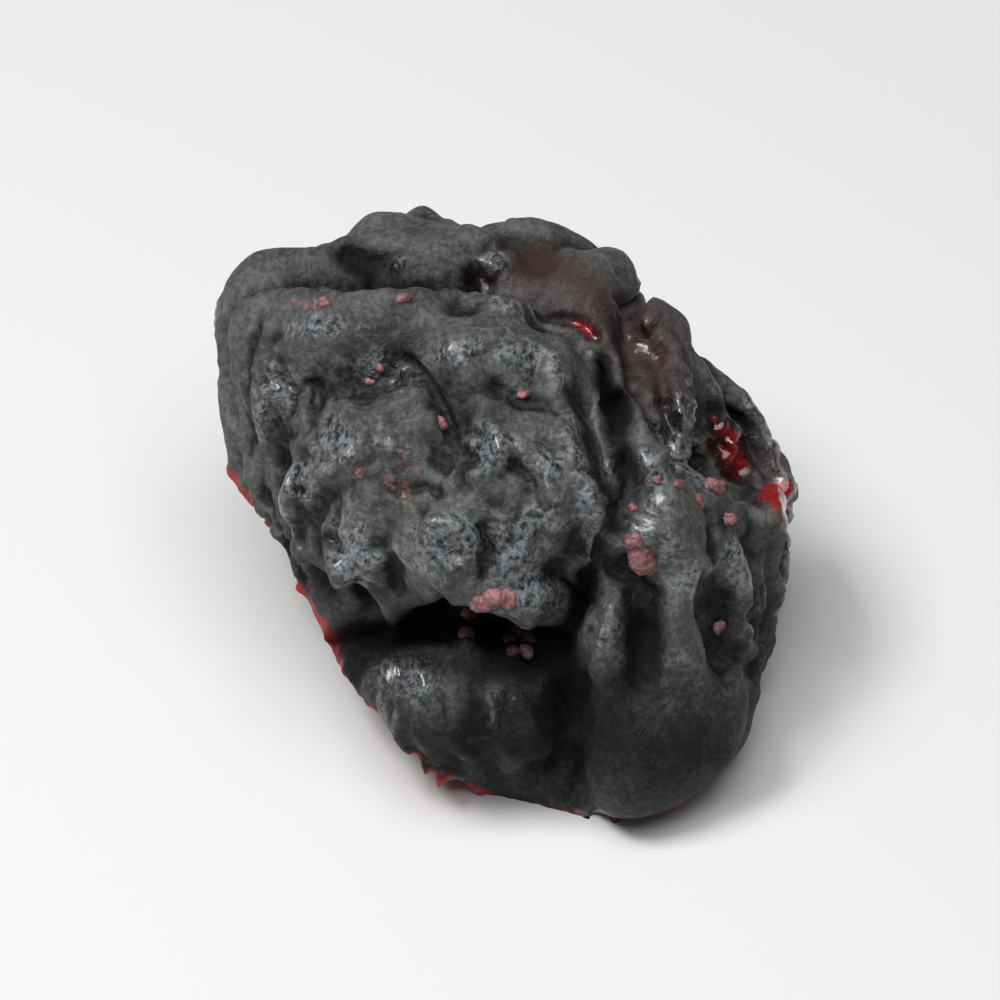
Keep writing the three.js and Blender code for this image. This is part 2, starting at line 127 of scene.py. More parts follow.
# Fine ridges and valleys on the side that faces the front eye: line, half width, height.
# A valley's height is negative.
# A pair of half widths gives the left and the right of the line's course a slope of its own.
STROKES = [
    ([(-18.6, 13.9), (-14.2, 14.7), (-8.8, 14.6), (-3.4, 14.4), (1.4, 13.9), (4, 13.2),
     (6, 12.3)], (0.3, 1.7), 1.2),
    ([(-17.0, 15.6), (-12.6, 15.7), (-8.0, 15.5), (-3.6, 15.3), (0.8, 14.9)], 0.5, -0.5),
    ([(6.4, 12.2), (6.7, 10.4), (6.5, 8.1), (7.1, 5.7), (7.7, 3.7), (8, 2.2)], (0.3, 1.3), 0.7),
    ([(7.6, 10.6), (7.5, 9.1), (8.4, 7.7), (8.9, 6.4), (8.5, 5.0), (9.2, 3.7), (9.8, 2.3)], (1.0, 0.28),
     0.6),
    ([(4.7, 3.7), (5.8, 2.3), (6.4, 0.9), (6.3, -0.4), (5.7, -1.8), (5.2, -3.1)], (0.4, 0.7), 0.9),
    ([(-11.2, 7.7), (-9.5, 7.0), (-9.1, 5.7), (-9.7, 4.3), (-10.8, 3.3), (-12.2, 3.3)], 0.7, 0.9),
    ([(-10.8, 0.3), (-11.0, -1.1), (-10.5, -2.8), (-9.8, -4.5), (-9.3, -5.8)], (0.5, 0.9), 1.0),
    ([(-15.4, 9.4), (-15.9, 7.4), (-15.4, 5.5)], 0.6, 0.6),
    ([(-1.7, 7.0), (-0.3, 5.7), (0.3, 4.0), (-0.7, 3.0), (-2.4, 3.1)], 0.5, 0.5),
    ([(-2.0, 5.7), (-1.2, 4.5), (-0.3, 3.3)], 0.3, 0.3),
    ([(-3.6, 5.0), (-2.7, 3.7), (-3.4, 2.3)], 0.35, 0.35),
    ([(-5.4, -1.1), (-4.1, -0.2), (-2.4, -0.7), (-2.0, -2.4), (-3.4, -3.8)], 0.5, 0.5),
    ([(1.0, 1.6), (0.3, -0.1), (-0.0, -1.4)], 0.4, 0.4), ([(4.4, 6.4), (4.7, 4.7), (5.8, 3.7)], 0.5, 0.5),
    ([(-3.4, 11.1), (-2.0, 12.1), (0.7, 12.3), (2.7, 11.4)], 0.8, 0.4),
    ([(-6.6, 11.3), (-5.3, 10.1), (-4.1, 8.7), (-3.4, 7.0), (-2.9, 5.4)], (0.35, 0.7), -0.8),
    ([(-5.0, 5.6), (-4.6, 7.2), (-5.6, 8.6)], 1.3, 0.6),
    ([(-1.6, 8.6), (-2.2, 10.0), (-4.0, 11.2)], 1.2, 0.7),
    ([(-7.8, 6.4), (-6.1, 7.4), (-4.1, 7.7)], 0.4, -0.5),
    ([(-7.5, 2.0), (-5.4, 2.3), (-3.4, 2.0)], 0.4, -0.5),
    ([(-0.7, 2.3), (1.0, 3.7), (2.0, 3.0), (2.7, 0.6), (2.9, -1.8)], 0.6, -0.6),
    ([(-13.2, 5.0), (-13.9, 3.0), (-13.2, 0.9)], 0.5, -0.5),
    ([(-7.5, -1.8), (-6.8, -3.8), (-7.1, -5.0)], 0.6, -0.6),
    ([(-1.4, 0.3), (-0.7, -2.1), (-1.0, -4.5)], 0.6, -0.6),
    ([(-12.5, 9.8), (-12.2, 7.7), (-13.2, 5.7)], 0.5, -0.5),
    ([(-0.7, 9.4), (1.4, 8.1), (3.4, 7.7), (4.4, 7.0)], 0.6, -0.5),
    ([(1.6, -4.9), (3.0, -5.0), (4.2, -4.0)], 1.2, 0.7),
    ([(6.9, 12.6), (6.1, 13.7), (6.3, 15.1), (7.4, 15.8), (8.9, 15.8)], 0.35, 0.5),
    ([(2.7, 13.6), (4.4, 13.7), (5.8, 13.2), (6.8, 12.0)], 0.3, -1.0),
    ([(9.5, 13.9), (9.8, 12.6), (10.3, 11.4), (11.0, 9.8), (11.2, 7.7), (11.5, 5.7)], 0.35, -0.8),
    ([(8.1, 13.8), (9.0, 11.8), (8.8, 9.4), (9.5, 7.7)], 0.4, -0.5),
    ([(11.9, 12.8), (12.9, 10.4), (13.5, 8.1), (13.2, 5.7)], 0.4, -0.4),
    ([(9.8, 15.5), (10.7, 13.5), (11.5, 11.8), (13.2, 9.1), (13.5, 7.7)], 0.35, 0.4),
    ([(10.7, 7.7), (10.7, 5.7), (11.0, 3.7)], 0.4, 0.5),
    ([(17.7, 7.0), (18.2, 5.0), (18.6, 3.0), (18.4, 0.6), (17.6, -0.6)], (1.0, 0.3), 1.0),
    ([(9.4, -3.9), (9.9, -5.6), (9.6, -7.6), (9.8, -9.4), (9.0, -11.8)], (0.9, 1.5), -0.9),
    ([(10.8, -7.0), (11.0, -8.6), (10.6, -10.2), (11.2, -12)], 0.9, 0.6),
    ([(8.3, -4.6), (7.5, -7.5), (7.0, -10.2), (7.2, -13.3)], (0.5, 0.9), 0.8),
    ([(11.9, -4.6), (11.7, -8.2), (12.1, -11.6)], 0.8, 0.7),
    ([(14.4, -4.6), (15.1, -6.4), (14.7, -8.4), (15.2, -10.4)], (1.2, 0.7), -0.9),
    ([(16.6, -3.1), (16.9, -6.5), (16.3, -9.9), (14.9, -12.6)], 0.4, 0.3),
    ([(18.0, -3.8), (18.1, -7.2), (17.1, -10.6)], 0.4, -0.3),
    ([(7.5, -9.9), (8.1, -13.3), (10.2, -16.7), (11.5, -18.7)], 0.4, 0.3),
    ([(8.8, -11.3), (9.8, -14.0), (11.5, -16.3)], 0.4, -0.25),
    ([(12.9, -11.6), (12.6, -15.0), (13.5, -17.7)], 0.4, -0.2),
    ([(14.4, -11.9), (14.1, -14.6), (13.2, -17.0)], 0.35, 0.2),
    ([(-18.0, 15.8), (-19.1, 12.8), (-18.9, 9.8), (-18.4, 7.0), (-17.7, 5.0)], 0.3, 0.4),
    ([(-17.3, 15.5), (-18.5, 12.5), (-18.4, 9.4), (-17.8, 6.7)], 0.25, -0.4),
    ([(-16.6, 15.0), (-17.8, 12.1), (-17.8, 9.1), (-17.1, 6.0)], 0.3, 0.4),
    ([(-15.9, 13.8), (-16.9, 11.1), (-17.1, 8.4), (-16.4, 5.0)], 0.3, -0.4),
    ([(-16.9, 4.0), (-16.2, 0.9), (-14.5, -2.1), (-13.8, -4.8)], 0.3, 0.4),
    ([(-16.3, 4.0), (-15.5, 0.6), (-13.8, -2.8), (-13.0, -5.2)], 0.3, -0.4),
    ([(-15.6, 3.7), (-14.7, 0.3), (-13.0, -3.1), (-12.0, -5.8)], 0.35, 0.4),
    ([(-12.2, 18.3), (-11.2, 17.8), (-9.9, 16.7), (-8.8, 15.8)], (0.3, 1.8), 1.2),
    ([(-11.4, 18.2), (-9.6, 17.4), (-8.0, 17.0), (-6.2, 17.3)], (1.8, 0.9), -1.0),
    ([(-7.4, 15.9), (-5.4, 16.4), (-3.4, 16.2)], 1.2, 0.9),
    ([(-3.4, 18.1), (-1.4, 18.6), (0.7, 18.8)], 0.5, -0.6),
    ([(-11.2, 20.4), (-8.8, 20.9), (-6, 20.9), (-4, 20.3)], (0.4, 0.8), 0.2),
    ([(7.4, 17.9), (9.2, 15.9), (10.4, 14.3), (11.8, 12.4)], 1.9, 1.8),
    ([(15.4, 9.3), (17.2, 7.5), (18.8, 5.4)], 1.6, -1.5),
    ([(19.0, 3.0), (19.8, 1.4), (19.6, -0.4)], 1.1, 0.9),
    ([(-17.6, 0.6), (-16.2, -2.4), (-14.4, -5.2)], 1.4, -0.8),
    ([(-2, 20.2), (1.4, 20.6), (4.1, 20.1), (6.4, 18.9), (9.1, 16.9)], (0.4, 0.7), 0.4),
    ([(5.0, 19.0), (4.0, 16.6), (2.4, 14.4)], (0.9, 0.3), 0.35),
    ([(-7.5, -10.2), (-4.9, -11.3), (-3.4, -13.3)], 0.5, -0.5),
    ([(-7.9, -10.1), (-6.6, -9.4), (-5.2, -9.6)], 0.7, 0.6),
    ([(-3.6, -9.9), (-2.3, -9.5), (-1.2, -10.2)], 0.8, 0.6), ([(-4.6, -9.7), (-4.3, -10.9)], 0.6, -0.7),
    ([(-0.3, -9.9), (0.2, -11.2)], 0.6, -0.6), ([(-5.6, 21.7), (-4.4, 21.6), (-3.4, 21.2)], 1.2, -0.8),
    ([(-7.4, -5.4), (-7.0, -6.9)], 0.6, 0.6), ([(-3.9, -4.9), (-3.6, -6.3)], 0.5, -0.6),
    ([(1.6, -5.6), (1.9, -6.9)], 0.6, 0.5), ([(-1.6, -10.9), (-0.4, -12.3), (-0.8, -14.6)], 0.6, -0.6),
    ([(0.4, -11.8), (1.8, -12.6), (2.4, -14.6)], 0.6, 0.6),
    ([(5.2, -9.5), (4.4, -11.9), (5.0, -14.3), (4.2, -17.3)], (1.4, 0.8), -0.8),
]
# Where skin hangs over what is below it: line along the lip, half width, push in millimetres.
LIPS = [
    ([(-10.4, -6.4), (-7.6, -5.2), (-5.2, -4.2), (-2, -4.2), (1.3, -5.1), (3.4, -5), (5.2, -3.9),
     (6.0, -2.6)], 1.7, (0, -1.0, -0.8)),
    ([(0.6, -4.4), (2.4, -4.9), (3.8, -4.6), (4.8, -3.4)], 1.5, (0, -1.7, 1.3)),
]
# Hollows sunk along the front eye's sight: line, half width, depth, and how dark painted shade makes them
# inside.
VALLEYS = [
    ([(-11.0, -8.8), (-9.0, -8.2), (-6.6, -7.7), (-4.5, -7.3), (-2.4, -7.4), (0.5, -7.9),
     (3.4, -8.4)], 1.75, 3.6, 1.0),
    ([(0.2, -7.9), (2.0, -8.4), (4.2, -9.0)], 1.5, 2.4, 1.0),
    ([(4.0, -8.4), (5.2, -6.8), (5.7, -5.0), (6.2, -3.3)], 0.65, 2.2, 0.9),
]
PITS = [
    ([(7.1, 11.6), (7.0, 10.4), (7.0, 9.2), (7.3, 8.0)], 0.42, 2.4, 1.0),
    ([(7.3, 9.2), (7.8, 7.8), (8.2, 6.8), (8.0, 5.2)], 0.85, 3.6, 1.0),
    ([(8.2, 5.3), (8.6, 4.0), (9.2, 1.9)], 0.55, 3.0, 1.0),
    ([(14.1, 8.2), (15.2, 6.4), (16.4, 4.3), (17.2, 2.0)], 1.7, 2.0, 0.0),
    ([(-0.6, 18.6), (-1.1, 16.6), (-1.3, 14.2)], 1.1, 1.0, 0.0),
    ([(11.0, 8.6), (11.4, 7.2), (12.2, 5.9)], 0.4, 1.4, 0.7),
    ([(12.6, 5.2), (13.4, 3.9), (14.2, 3.2)], 0.4, 1.2, 0.6),
    ([(4.2, -9.4), (4.8, -11.6), (4.4, -14.6)], 1.5, 1.3, 0.85),
    ([(9.5, -5.4), (10.0, -7.4), (9.8, -10.0)], 0.85, 1.5, 0.8),
]
VALLEY_ENDS, PIT_ENDS = 0.5, 0.85  # how much narrower they get at their ends
VALLEY_KEEP, PIT_KEEP = 1.0, 0.05  # how much of a depth along the sight counts as distance from their lines
REACHES = 6, 8.5  # how far along the sight they begin and end to fade out
# Small beads and lumps of dried juice: middle as the front eye sees it, reach, height.
BEADS = [
    ((-0.3, 17.4), (0.9, 0.8), 0.9), ((16.2, 4.8), (0.8, 1.1), 1.3), ((15.4, 6.6), (0.5, 0.7), 0.6),
    ((5.9, -6.9), (1.0, 1.1), 2.0), ((13.0, 4.6), (0.5, 0.8), 0.6), ((12.2, 7.0), (0.6, 0.6), 0.5),
    ((11.8, 3.6), (0.6, 0.9), 0.5), ((9.9, 13.4), (0.5, 0.5), 0.4), ((10.6, 12.2), (0.4, 0.7), 0.4),
    ((1.2, 18.1), (0.5, 0.4), 0.4), ((-2.6, 17.9), (0.4, 0.4), 0.4), ((-6.9, 17.6), (0.6, 0.5), 0.5),
    ((1.5, -8.4), (1.5, 1.3), 3.2), ((-2.1, -8.2), (0.8, 1.0), 2.0),
]
# Where the skin has puckered most: middle as the front eye sees it, reach, share.
PUCKERED = [
    ((-10.5, 4), (5, 6.5), 0.75), ((-1, 0.5), (6.5, 6), 0.7), ((-4, -12), (4.5, 2.6), 0.9),
    ((12.5, 5.5), (2.6, 3.6), 1.3), ((10.6, 11.4), (1.6, 3.2), 1.0), ((3, -4.8), (2, 1.6), 0.9),
]
# Where the skin stays smooth: eye, middle, reach, share.
CALM = [
    (FRONT, (-13.5, 17.6), (5, 2.4), 0.95), (FRONT, (-5, 18.4), (6, 2.4), 0.95),
    (FRONT, (3.5, 17.4), (5.5, 3.2), 0.95), (FRONT, (12, -14.5), (7, 5), 0.85),
    (FRONT, (9, 12), (3.2, 4), 0.6), (FRONT, (-5, 12.8), (9, 1.8), 0.6), (FRONT, (10, -7), (4, 4), 0.6),
    (FRONT, (-3, -8), (9, 2.4), 0.9), (FRONT, (-18.3, 10), (1.8, 6), 0.8), (FRONT, (-4, 3), (9, 7), 0.5),
    (BACK, (4, 6), (5, 4), 0.7), (LEFT, (0, 8), (5, 5), 0.5), (FRONT, (-5, 21), (16, 2.5), 0.8),
    (FRONT, (13, 12), (5, 4), 0.5),
]
# Layers of puckers: height in millimetres, size and seed.
BILLOWS = ((0.7, 3.1, 31), (0.5, 1.4, 32), (0.3, 0.75, 33))
# How buckling skin moves: stiffness, the speed that is kept, the time step and how rough it is at first.
SPRING, KEPT_SPEED, TIME_STEP, FIRST_ROUGH = 0.2, 0.9, 0.5, 0.06

# Values of the materials.
MASKS = ("flesh", "cut_edge", "wet", "juice_and_painted_glow", "thin_skin", "crumb_dust", "gloss_and_painted_sheen", "deep", "bloom_painted_light_and_shade")
FRUIT_GRAIN, CRUMB_GRAIN = 3200.0, 2600.0  # grains in a metre
GRAIN_DEPTH = 0.12 * MM
# Painted shade: the colour painted into the hollows and the shaded places.
PAINTED_SHADE_BLACK = (0.001, 0.001, 0.001)
RIDGES = "RIDGED_MULTIFRACTAL"
MIX_FACTOR, MIX_FIRST, MIX_SECOND, MIX_RESULT = 0, 6, 7, 2  # sockets of a Mix node for colours


def smoothstep(value, low, high):
    share = np.clip((value - low) / (high - low), 0.0, 1.0)
    return share * share * (3.0 - 2.0 * share)


def mix(a, b, share):
    return a + (b - a) * share


def spline(values, at, closed):
    """Reads a Catmull-Rom spline through values at places given in steps of one value."""
    count = len(values)
    step = np.floor(at).astype(int)
    w = (at - step)[:, None]
    if closed:
        p = [values[(step + k) % count] for k in (-1, 0, 1, 2)]
    else:
        padded = np.vstack((2 * values[0] - values[1], values, 2 * values[-1] - values[-2]))
        step = np.minimum(step, count - 2)
        w = (at - step)[:, None]
        p = [padded[step + k] for k in (0, 1, 2, 3)]
    return 0.5 * (2 * p[1] + (p[2] - p[0]) * w + (2 * p[0] - 5 * p[1] + 4 * p[2] - p[3]) * w ** 2
                  + (3 * p[1] - p[0] - 3 * p[2] + p[3]) * w ** 3)


def unit(vectors):
    return vectors / np.maximum(np.linalg.norm(vectors, axis=-1, keepdims=True), 1e-12)


def share_of(direction):
    """How far down the section a direction lies: 0 at the crown, 1 in the hollow."""
    return np.arccos(np.clip(direction[:, 2], -1, 1)) / math.pi


def edge_at(direction):
    """How far down the section the skin was cut, at each direction's angle."""
    angle = np.arctan2(direction[:, 1], direction[:, 0]) / (2 * math.pi) % 1.0
    return np.interp(angle * len(EDGE), np.arange(len(EDGE) + 1), (*EDGE, EDGE[0]))


def on_fruit(direction, height):
    """Moves points of a unit ball to the plain form of the fruit, in millimetres."""
    angle = np.arctan2(direction[:, 1], direction[:, 0]) / (2 * math.pi) % 1.0
    radius, edge, full = spline(OUTLINE, angle * len(OUTLINE), closed=True).T
    steps = np.linspace(0, len(SECTION) - 1, SECTION_STEPS)
    fine = spline(SECTION * (WIDEST, height), steps, closed=False)
    length = np.concatenate(([0], np.cumsum(np.linalg.norm(np.diff(fine, axis=0), axis=1))))
    share = share_of(direction)
    out = np.maximum(np.interp(share * length[-1], length, fine[:, 0]) / WIDEST, 0)
    up = np.interp(share * length[-1], length, fine[:, 1]) / height
    spread = np.where(share > CURL, out, out ** (1 / full))
    slide = np.maximum(1 - out, 0) ** 1.5
    turn = angle * 2 * math.pi
    return np.stack((
        np.cos(turn) * radius * spread + CROWN[0] * slide,
        np.sin(turn) * radius * spread + CROWN[1] * slide,
        height * up + edge * (1 - up) * out * out,
    ), axis=1)


def normals_of(points, quads):
    across = np.cross(points[quads[:, 2]] - points[quads[:, 0]], points[quads[:, 3]] - points[quads[:, 1]])
    total = np.zeros_like(points)
    for corner in range(4):
        for axis in range(3):
            total[:, axis] += np.bincount(quads[:, corner], across[:, axis], len(points))
    return unit(total)


class Sight:
    """Finds where an eye's line of sight meets a surface."""

    def __init__(self, points, quads):
        self.points = points
        self.tree = BVHTree.FromPolygons(points.tolist(), quads.tolist())

    def seen(self, view, at):
        start = AIM + view["across"] * at[0] + view["up"] * at[1] + view["towards"] * FAR
        hit = self.tree.ray_cast(Vector(start), Vector(-view["towards"]))[0]
        if hit is not None:
            return np.array(hit)
        away = self.points - start
        along = away @ view["towards"]
        miss = np.linalg.norm(away - along[:, None] * view["towards"], axis=1)
        return self.points[np.argmin(miss)]


def drawn(sight, view, line):
    """A smooth line on the surface through the places given as the eye sees them."""
    values = np.array(line, dtype=float)
    steps = np.linspace(0, len(values) - 1, 3 * (len(values) - 1) + 1)
    return np.array([sight.seen(view, at) for at in spline(values, steps, closed=False)])


def line_distance(points, line):
    """Least distance to a line, place along it from 0 to 1, the nearest point on it and its course there."""
    best = np.full(len(points), 1e9)
    place = np.zeros(len(points))
    nearest = np.zeros_like(points)
    course = np.zeros_like(points)
    for i in range(len(line) - 1):
        a, b = line[i], line[i + 1]
        t = np.clip((points - a) @ (b - a) / max((b - a) @ (b - a), 1e-9), 0, 1)
        foot = a + t[:, None] * (b - a)
        distance = np.linalg.norm(points - foot, axis=1)
        nearer = distance < best
        best[nearer] = distance[nearer]
        nearest[nearer] = foot[nearer]
        place[nearer] = (i + t[nearer]) / (len(line) - 1)
        course[nearer] = b - a
    return best, place, nearest, course


def near_line(points, line, reach):
    """Which points lie in the box round a line."""
    inside = (points > line.min(axis=0) - reach) & (points < line.max(axis=0) + reach)
    return np.where(inside.all(axis=1))[0]


def fading(place, share):
    """1 along a line and less at its two ends."""
    return 1 - share + share * smoothstep(place, -0.02, 0.14) * (1 - smoothstep(place, 0.86, 1.02))


def spot(points, view, middle, reach, turn=0.0):
    """A soft round spot on the surface: 1 in its middle."""
    away = points - middle
    a, b, c = away @ view["across"], away @ view["up"], away @ view["towards"]
    turn = math.radians(turn)
    u = (a * math.cos(turn) + b * math.sin(turn)) / reach[0]
    v = (b * math.cos(turn) - a * math.sin(turn)) / reach[1]
    c = c / (1.5 * max(reach))
    return np.exp(-(u * u + v * v + c * c))


def rolls(p):
    x, y, z = p.T
    first = np.sin(x * 0.62 + 1.3 * np.sin(z * 0.31 + 0.4)) * np.cos(y * 0.55 + 0.8)
    return 0.42 * (first + 0.6 * np.sin(y * 0.93 - z * 0.71 + 1.9 * np.cos(x * 0.27)))


def flesh_ridges(p):
    x, y, z = p.T
    bend = 1.8 * np.sin(y * 0.19 + 0.7) + 0.5 * np.sin(y * 0.43)
    return 0.5 * np.sin((x + bend) * 1.05) + 0.25 * np.sin((x - bend) * 0.6 + y * 0.5)


def shaped(direction, quads, height):
    """The fruit with its main folds and lumps, as the frame's solid has them."""
    plain = on_fruit(direction, height)
    normal = normals_of(plain, quads)
    sight = Sight(plain, quads)
    share = share_of(direction)
    skin = 1 - smoothstep(share, 0.58, 0.66)
    push = skin * rolls(plain) + smoothstep(share, 0.68, 0.78) * flesh_ridges(plain)
    for view, at, reach, turn, rise in LUMPS:
        push += skin * rise * spot(plain, view, sight.seen(view, at), reach, turn)
    for view, line, width, depth in CREASES:
        on_skin = np.array([sight.seen(view, at) for at in line])
        distance = line_distance(plain, on_skin)[0]
        near = np.clip(1 - distance / (1.6 * width), 0, 1)
        push -= skin * depth * near * near * (3 - 2 * near)
    return plain + normal * push[:, None]


def lipped(points, quads):
    """Draws the skin out over what is below it."""
    sight = Sight(points, quads)
    moved = points.copy()
    for line, width, push in LIPS:
        distance, place, _, _ = line_distance(points, drawn(sight, FRONT, line))
        moved += np.outer(np.exp(-(distance / width) ** 2) * fading(place, 0.8), push)
    return moved


def pit_share(points, line, width, narrow, keep):
    """1 in a hollow with steep sides, narrower towards its two ends, and 0 far before it or behind it."""
    near = near_line(points, line, 2.5 * width)
    share = np.zeros(len(points))
    distance, place, nearest, _ = line_distance(points[near], line)
    swell = 1 - narrow + narrow * np.sin(math.pi * np.clip(place, 0.03, 0.97)) ** 0.7
    away = np.abs((points[near] - nearest) @ FRONT["towards"]) / keep
    share[near] = np.exp(-(distance / (width * swell)) ** 4) * swell * (1 - smoothstep(away, *REACHES))
    return share


def flattened(points, keep):
    """Points with their distance from the front eye made less, so that it counts for less."""
    away = (points - AIM) @ FRONT["towards"]
    return points - np.outer((1 - keep) * away, FRONT["towards"])


def hollow_shares(points, quads, pits, narrow, wider=1.0):
    """How far each point lies in each hollow."""
    sight = Sight(points, quads)
    keep = VALLEY_KEEP if pits is VALLEYS else PIT_KEEP
    wandering = points + 0.4 * noise_vectors(points, size=1.5, seed=7)
    wandering = flattened(wandering + 0.15 * noise_vectors(points, size=0.6, seed=8), keep)
    shares = []
    for line, width, _, _ in pits:
        on_skin = flattened(drawn(sight, FRONT, line), keep)
        shares.append(pit_share(wandering, on_skin, width * wider, narrow, keep))
    if pits is VALLEYS:
        facing = smoothstep(normals_of(points, quads) @ FRONT["towards"], -0.6, -0.1)
        return [facing * share for share in shares]
    table = neighbours(quads, len(points))
    return [share[table].mean(axis=1) for share in shares]


def sunk(points, quads, pits, narrow):
    """Sinks hollows along the front eye's sight."""
    moved = points.copy()
    for (_, _, depth, _), share in zip(pits, hollow_shares(points, quads, pits, narrow)):
        moved -= np.outer(depth * share, FRONT["towards"])
    return moved


def stroked(points, quads):
    """Draws the fine ridges and valleys, each with its own slope on either side."""
    sight = Sight(points, quads)
    normal = normals_of(points, quads)
    wandering = points + 0.3 * noise_vectors(points, size=1.6, seed=6)
    moved = points.copy()
    for line, width, height in STROKES:
        left, right = width if isinstance(width, tuple) else (width, width)
        on_skin = drawn(sight, FRONT, line)
        near = near_line(wandering, on_skin, 2.6 * max(left, right))
        distance, place, nearest, course = line_distance(wandering[near], on_skin)
        side = np.cross(course, wandering[near] - nearest) @ FRONT["towards"]
        slope = np.where(side > 0, left, right)
        share = np.exp(-(distance / slope) ** 2) * fading(place, 0.75)
        moved[near] += normal[near] * (height * share)[:, None]
    return moved


def neighbours(quads, count):
    """For each point, the points round it, with the point itself where there are fewer than eight."""
    pairs = np.vstack([quads[:, p] for p in ((0, 1), (1, 2), (2, 3), (3, 0), (0, 2), (1, 3))])
    pairs = np.unique(np.vstack((pairs, pairs[:, ::-1])), axis=0)
    first = np.searchsorted(pairs[:, 0], np.arange(count))
    table = np.repeat(np.arange(count)[:, None], 8, axis=1)
    table[pairs[:, 0], np.arange(len(pairs)) - first[pairs[:, 0]]] = pairs[:, 1]
    return table


def settled(values):
    """Values without their last digits, so that buckling doesn't make more of a rounding difference."""
    return np.round(values, 7)


def buckle(points, quads, growth, pleat, hold, bend, steps, seed):
    """Lets skin that is too large for its flesh buckle into folds, held to the flesh by soft springs."""
    table = neighbours(quads, len(points))
    used = (table != np.arange(len(points))[:, None]).astype(float)
    start = settled(points)
    edges = start[table] - start[:, None]
    rest = np.linalg.norm(edges, axis=2)
    normal = normals_of(points, quads)
    down = unit(np.cross(np.cross(normal, (0.0, 0.0, 1.0)), normal))
    along = np.abs(np.einsum("ijk,ik->ij", edges, down)) / np.maximum(rest, 1e-6)
    mean_growth = 0.5 * (growth[table] + growth[:, None])
    mean_pleat = 0.5 * (pleat[table] + pleat[:, None])
    rest = settled(rest * (1 + mean_growth + mean_pleat * (1 - along ** 2)))
    random = np.random.default_rng(seed)
    rough = random.normal(0, FIRST_ROUGH, len(points))
    place = settled(start + normal * rough[:, None])
    speed = np.zeros_like(place)
    share = used.sum(1, keepdims=True)
    for _ in range(steps):
        away = place[table] - place[:, None]
        length = np.maximum(np.sqrt(np.einsum("ijk,ijk->ij", away, away)), 1e-5)
        pull = np.einsum("ijk,ij->ik", away, (1 - rest / length) * used)
        bow = away.sum(1) / share
        bow_change = (bow[table] * used[..., None]).sum(1) / share - bow
        force = SPRING * pull - bend * bow_change + hold * (start - place)
        speed = settled(KEPT_SPEED * speed + TIME_STEP * force)
        place = settled(place + TIME_STEP * speed)
    return place


def kept_size(points, before, normal, quads, times):
    """Takes back the slow swelling that buckling gives, and keeps its folds."""
    table = neighbours(quads, len(points))
    swell = np.einsum("ij,ij->i", points - before, normal)
    for _ in range(times):
        swell = swell[table].mean(axis=1)
    return points - normal * swell[:, None]


def relief(points, quads, times):
    """How far each point stands out from the skin round it, in millimetres."""
    table = neighbours(quads, len(points))
    round_it = points
    for _ in range(times):
        round_it = round_it[table].mean(axis=1)
    return np.einsum("ij,ij->i", points - round_it, normals_of(points, quads))


def evened(points, quads, strength, times):
    """Evens out the finest unevenness of the grid."""
    table = neighbours(quads, len(points))
    for _ in range(times):
        points = mix(points, points[table].mean(axis=1), strength)
    return points


def grid_of(mesh):
    points = np.empty(len(mesh.vertices) * 3)
    mesh.vertices.foreach_get("co", points)
    quads = np.empty(len(mesh.polygons) * 4, dtype=np.int32)
    mesh.polygons.foreach_get("vertices", quads)
    return points.reshape(-1, 3), quads.reshape(-1, 4)


def put_points(mesh, points):
    mesh.vertices.foreach_set("co", points.astype(np.float32).ravel())
    mesh.update()


def noise_at(points, size, seed=0.0):
    """Smooth noise from about -1 to 1 with features of the given size in millimetres."""
    offset = Vector((seed * 17.3, seed * 5.1, -seed * 9.7))
    return np.array([noise.noise(Vector(p) / size + offset) for p in points.tolist()])


def noise_vectors(points, size, seed=0.0):
    """Smooth noise along each axis."""
    return np.stack([noise_at(points, size, seed + shift) for shift in (0.0, 0.37, 0.71)], axis=1)


def new_attribute(mesh, name, values):
    attribute = mesh.attributes.new(name, "FLOAT", "POINT")
    attribute.data.foreach_set("value", np.clip(values, 0, 1).astype(np.float32))


def deselect():
    if bpy.context.object and bpy.context.object.mode != "OBJECT":
        bpy.ops.object.mode_set(mode="OBJECT")
    bpy.ops.object.select_all(action="DESELECT")


# Materials.


def link(tree, a, b):
    tree.links.new(a, b)


def give(tree, value, socket):
    """Links a socket where the value is one, and otherwise sets the plain value."""
    if isinstance(value, bpy.types.NodeSocket):
        link(tree, value, socket)
    else:
        socket.default_value = value


def shader_node(tree, kind, place=(0, 0), **values):
    node = tree.nodes.new(kind)
    node.location = place
    for name, value in values.items():
        setattr(node, name, value)
    return node


def mask(tree, name):
    node = shader_node(tree, "ShaderNodeAttribute", attribute_name=name, attribute_type="GEOMETRY")
    return node.outputs["Fac"]


def mixed(tree, a, b, factor):
    """Mixes two colours, each of them a socket or a plain colour."""
    node = shader_node(tree, "ShaderNodeMix", data_type="RGBA")
    for value, socket in ((a, node.inputs[MIX_FIRST]), (b, node.inputs[MIX_SECOND])):
        give(tree, value if isinstance(value, bpy.types.NodeSocket) else (*value, 1), socket)
    give(tree, factor, node.inputs[MIX_FACTOR])
    return node.outputs[MIX_RESULT]


def math_node(tree, operation, a, b, clamp=False):
    node = shader_node(tree, "ShaderNodeMath", operation=operation, use_clamp=clamp)
    give(tree, a, node.inputs[0])
    give(tree, b, node.inputs[1])
    return node.outputs[0]


def times(tree, a, b):
    return math_node(tree, "MULTIPLY", a, b)


def plus(tree, a, b, clamp=False):
    return math_node(tree, "ADD", a, b, clamp)


def less(tree, a, b, clamp=False):
    return math_node(tree, "SUBTRACT", a, b, clamp)


def ranged(tree, value, low, high, to_low=0.0, to_high=1.0):
    node = shader_node(tree, "ShaderNodeMapRange", interpolation_type="SMOOTHSTEP")
    link(tree, value, node.inputs["Value"])
    for name, number in (("From Min", low), ("From Max", high), ("To Min", to_low), ("To Max", to_high)):
        node.inputs[name].default_value = number
    return node.outputs["Result"]


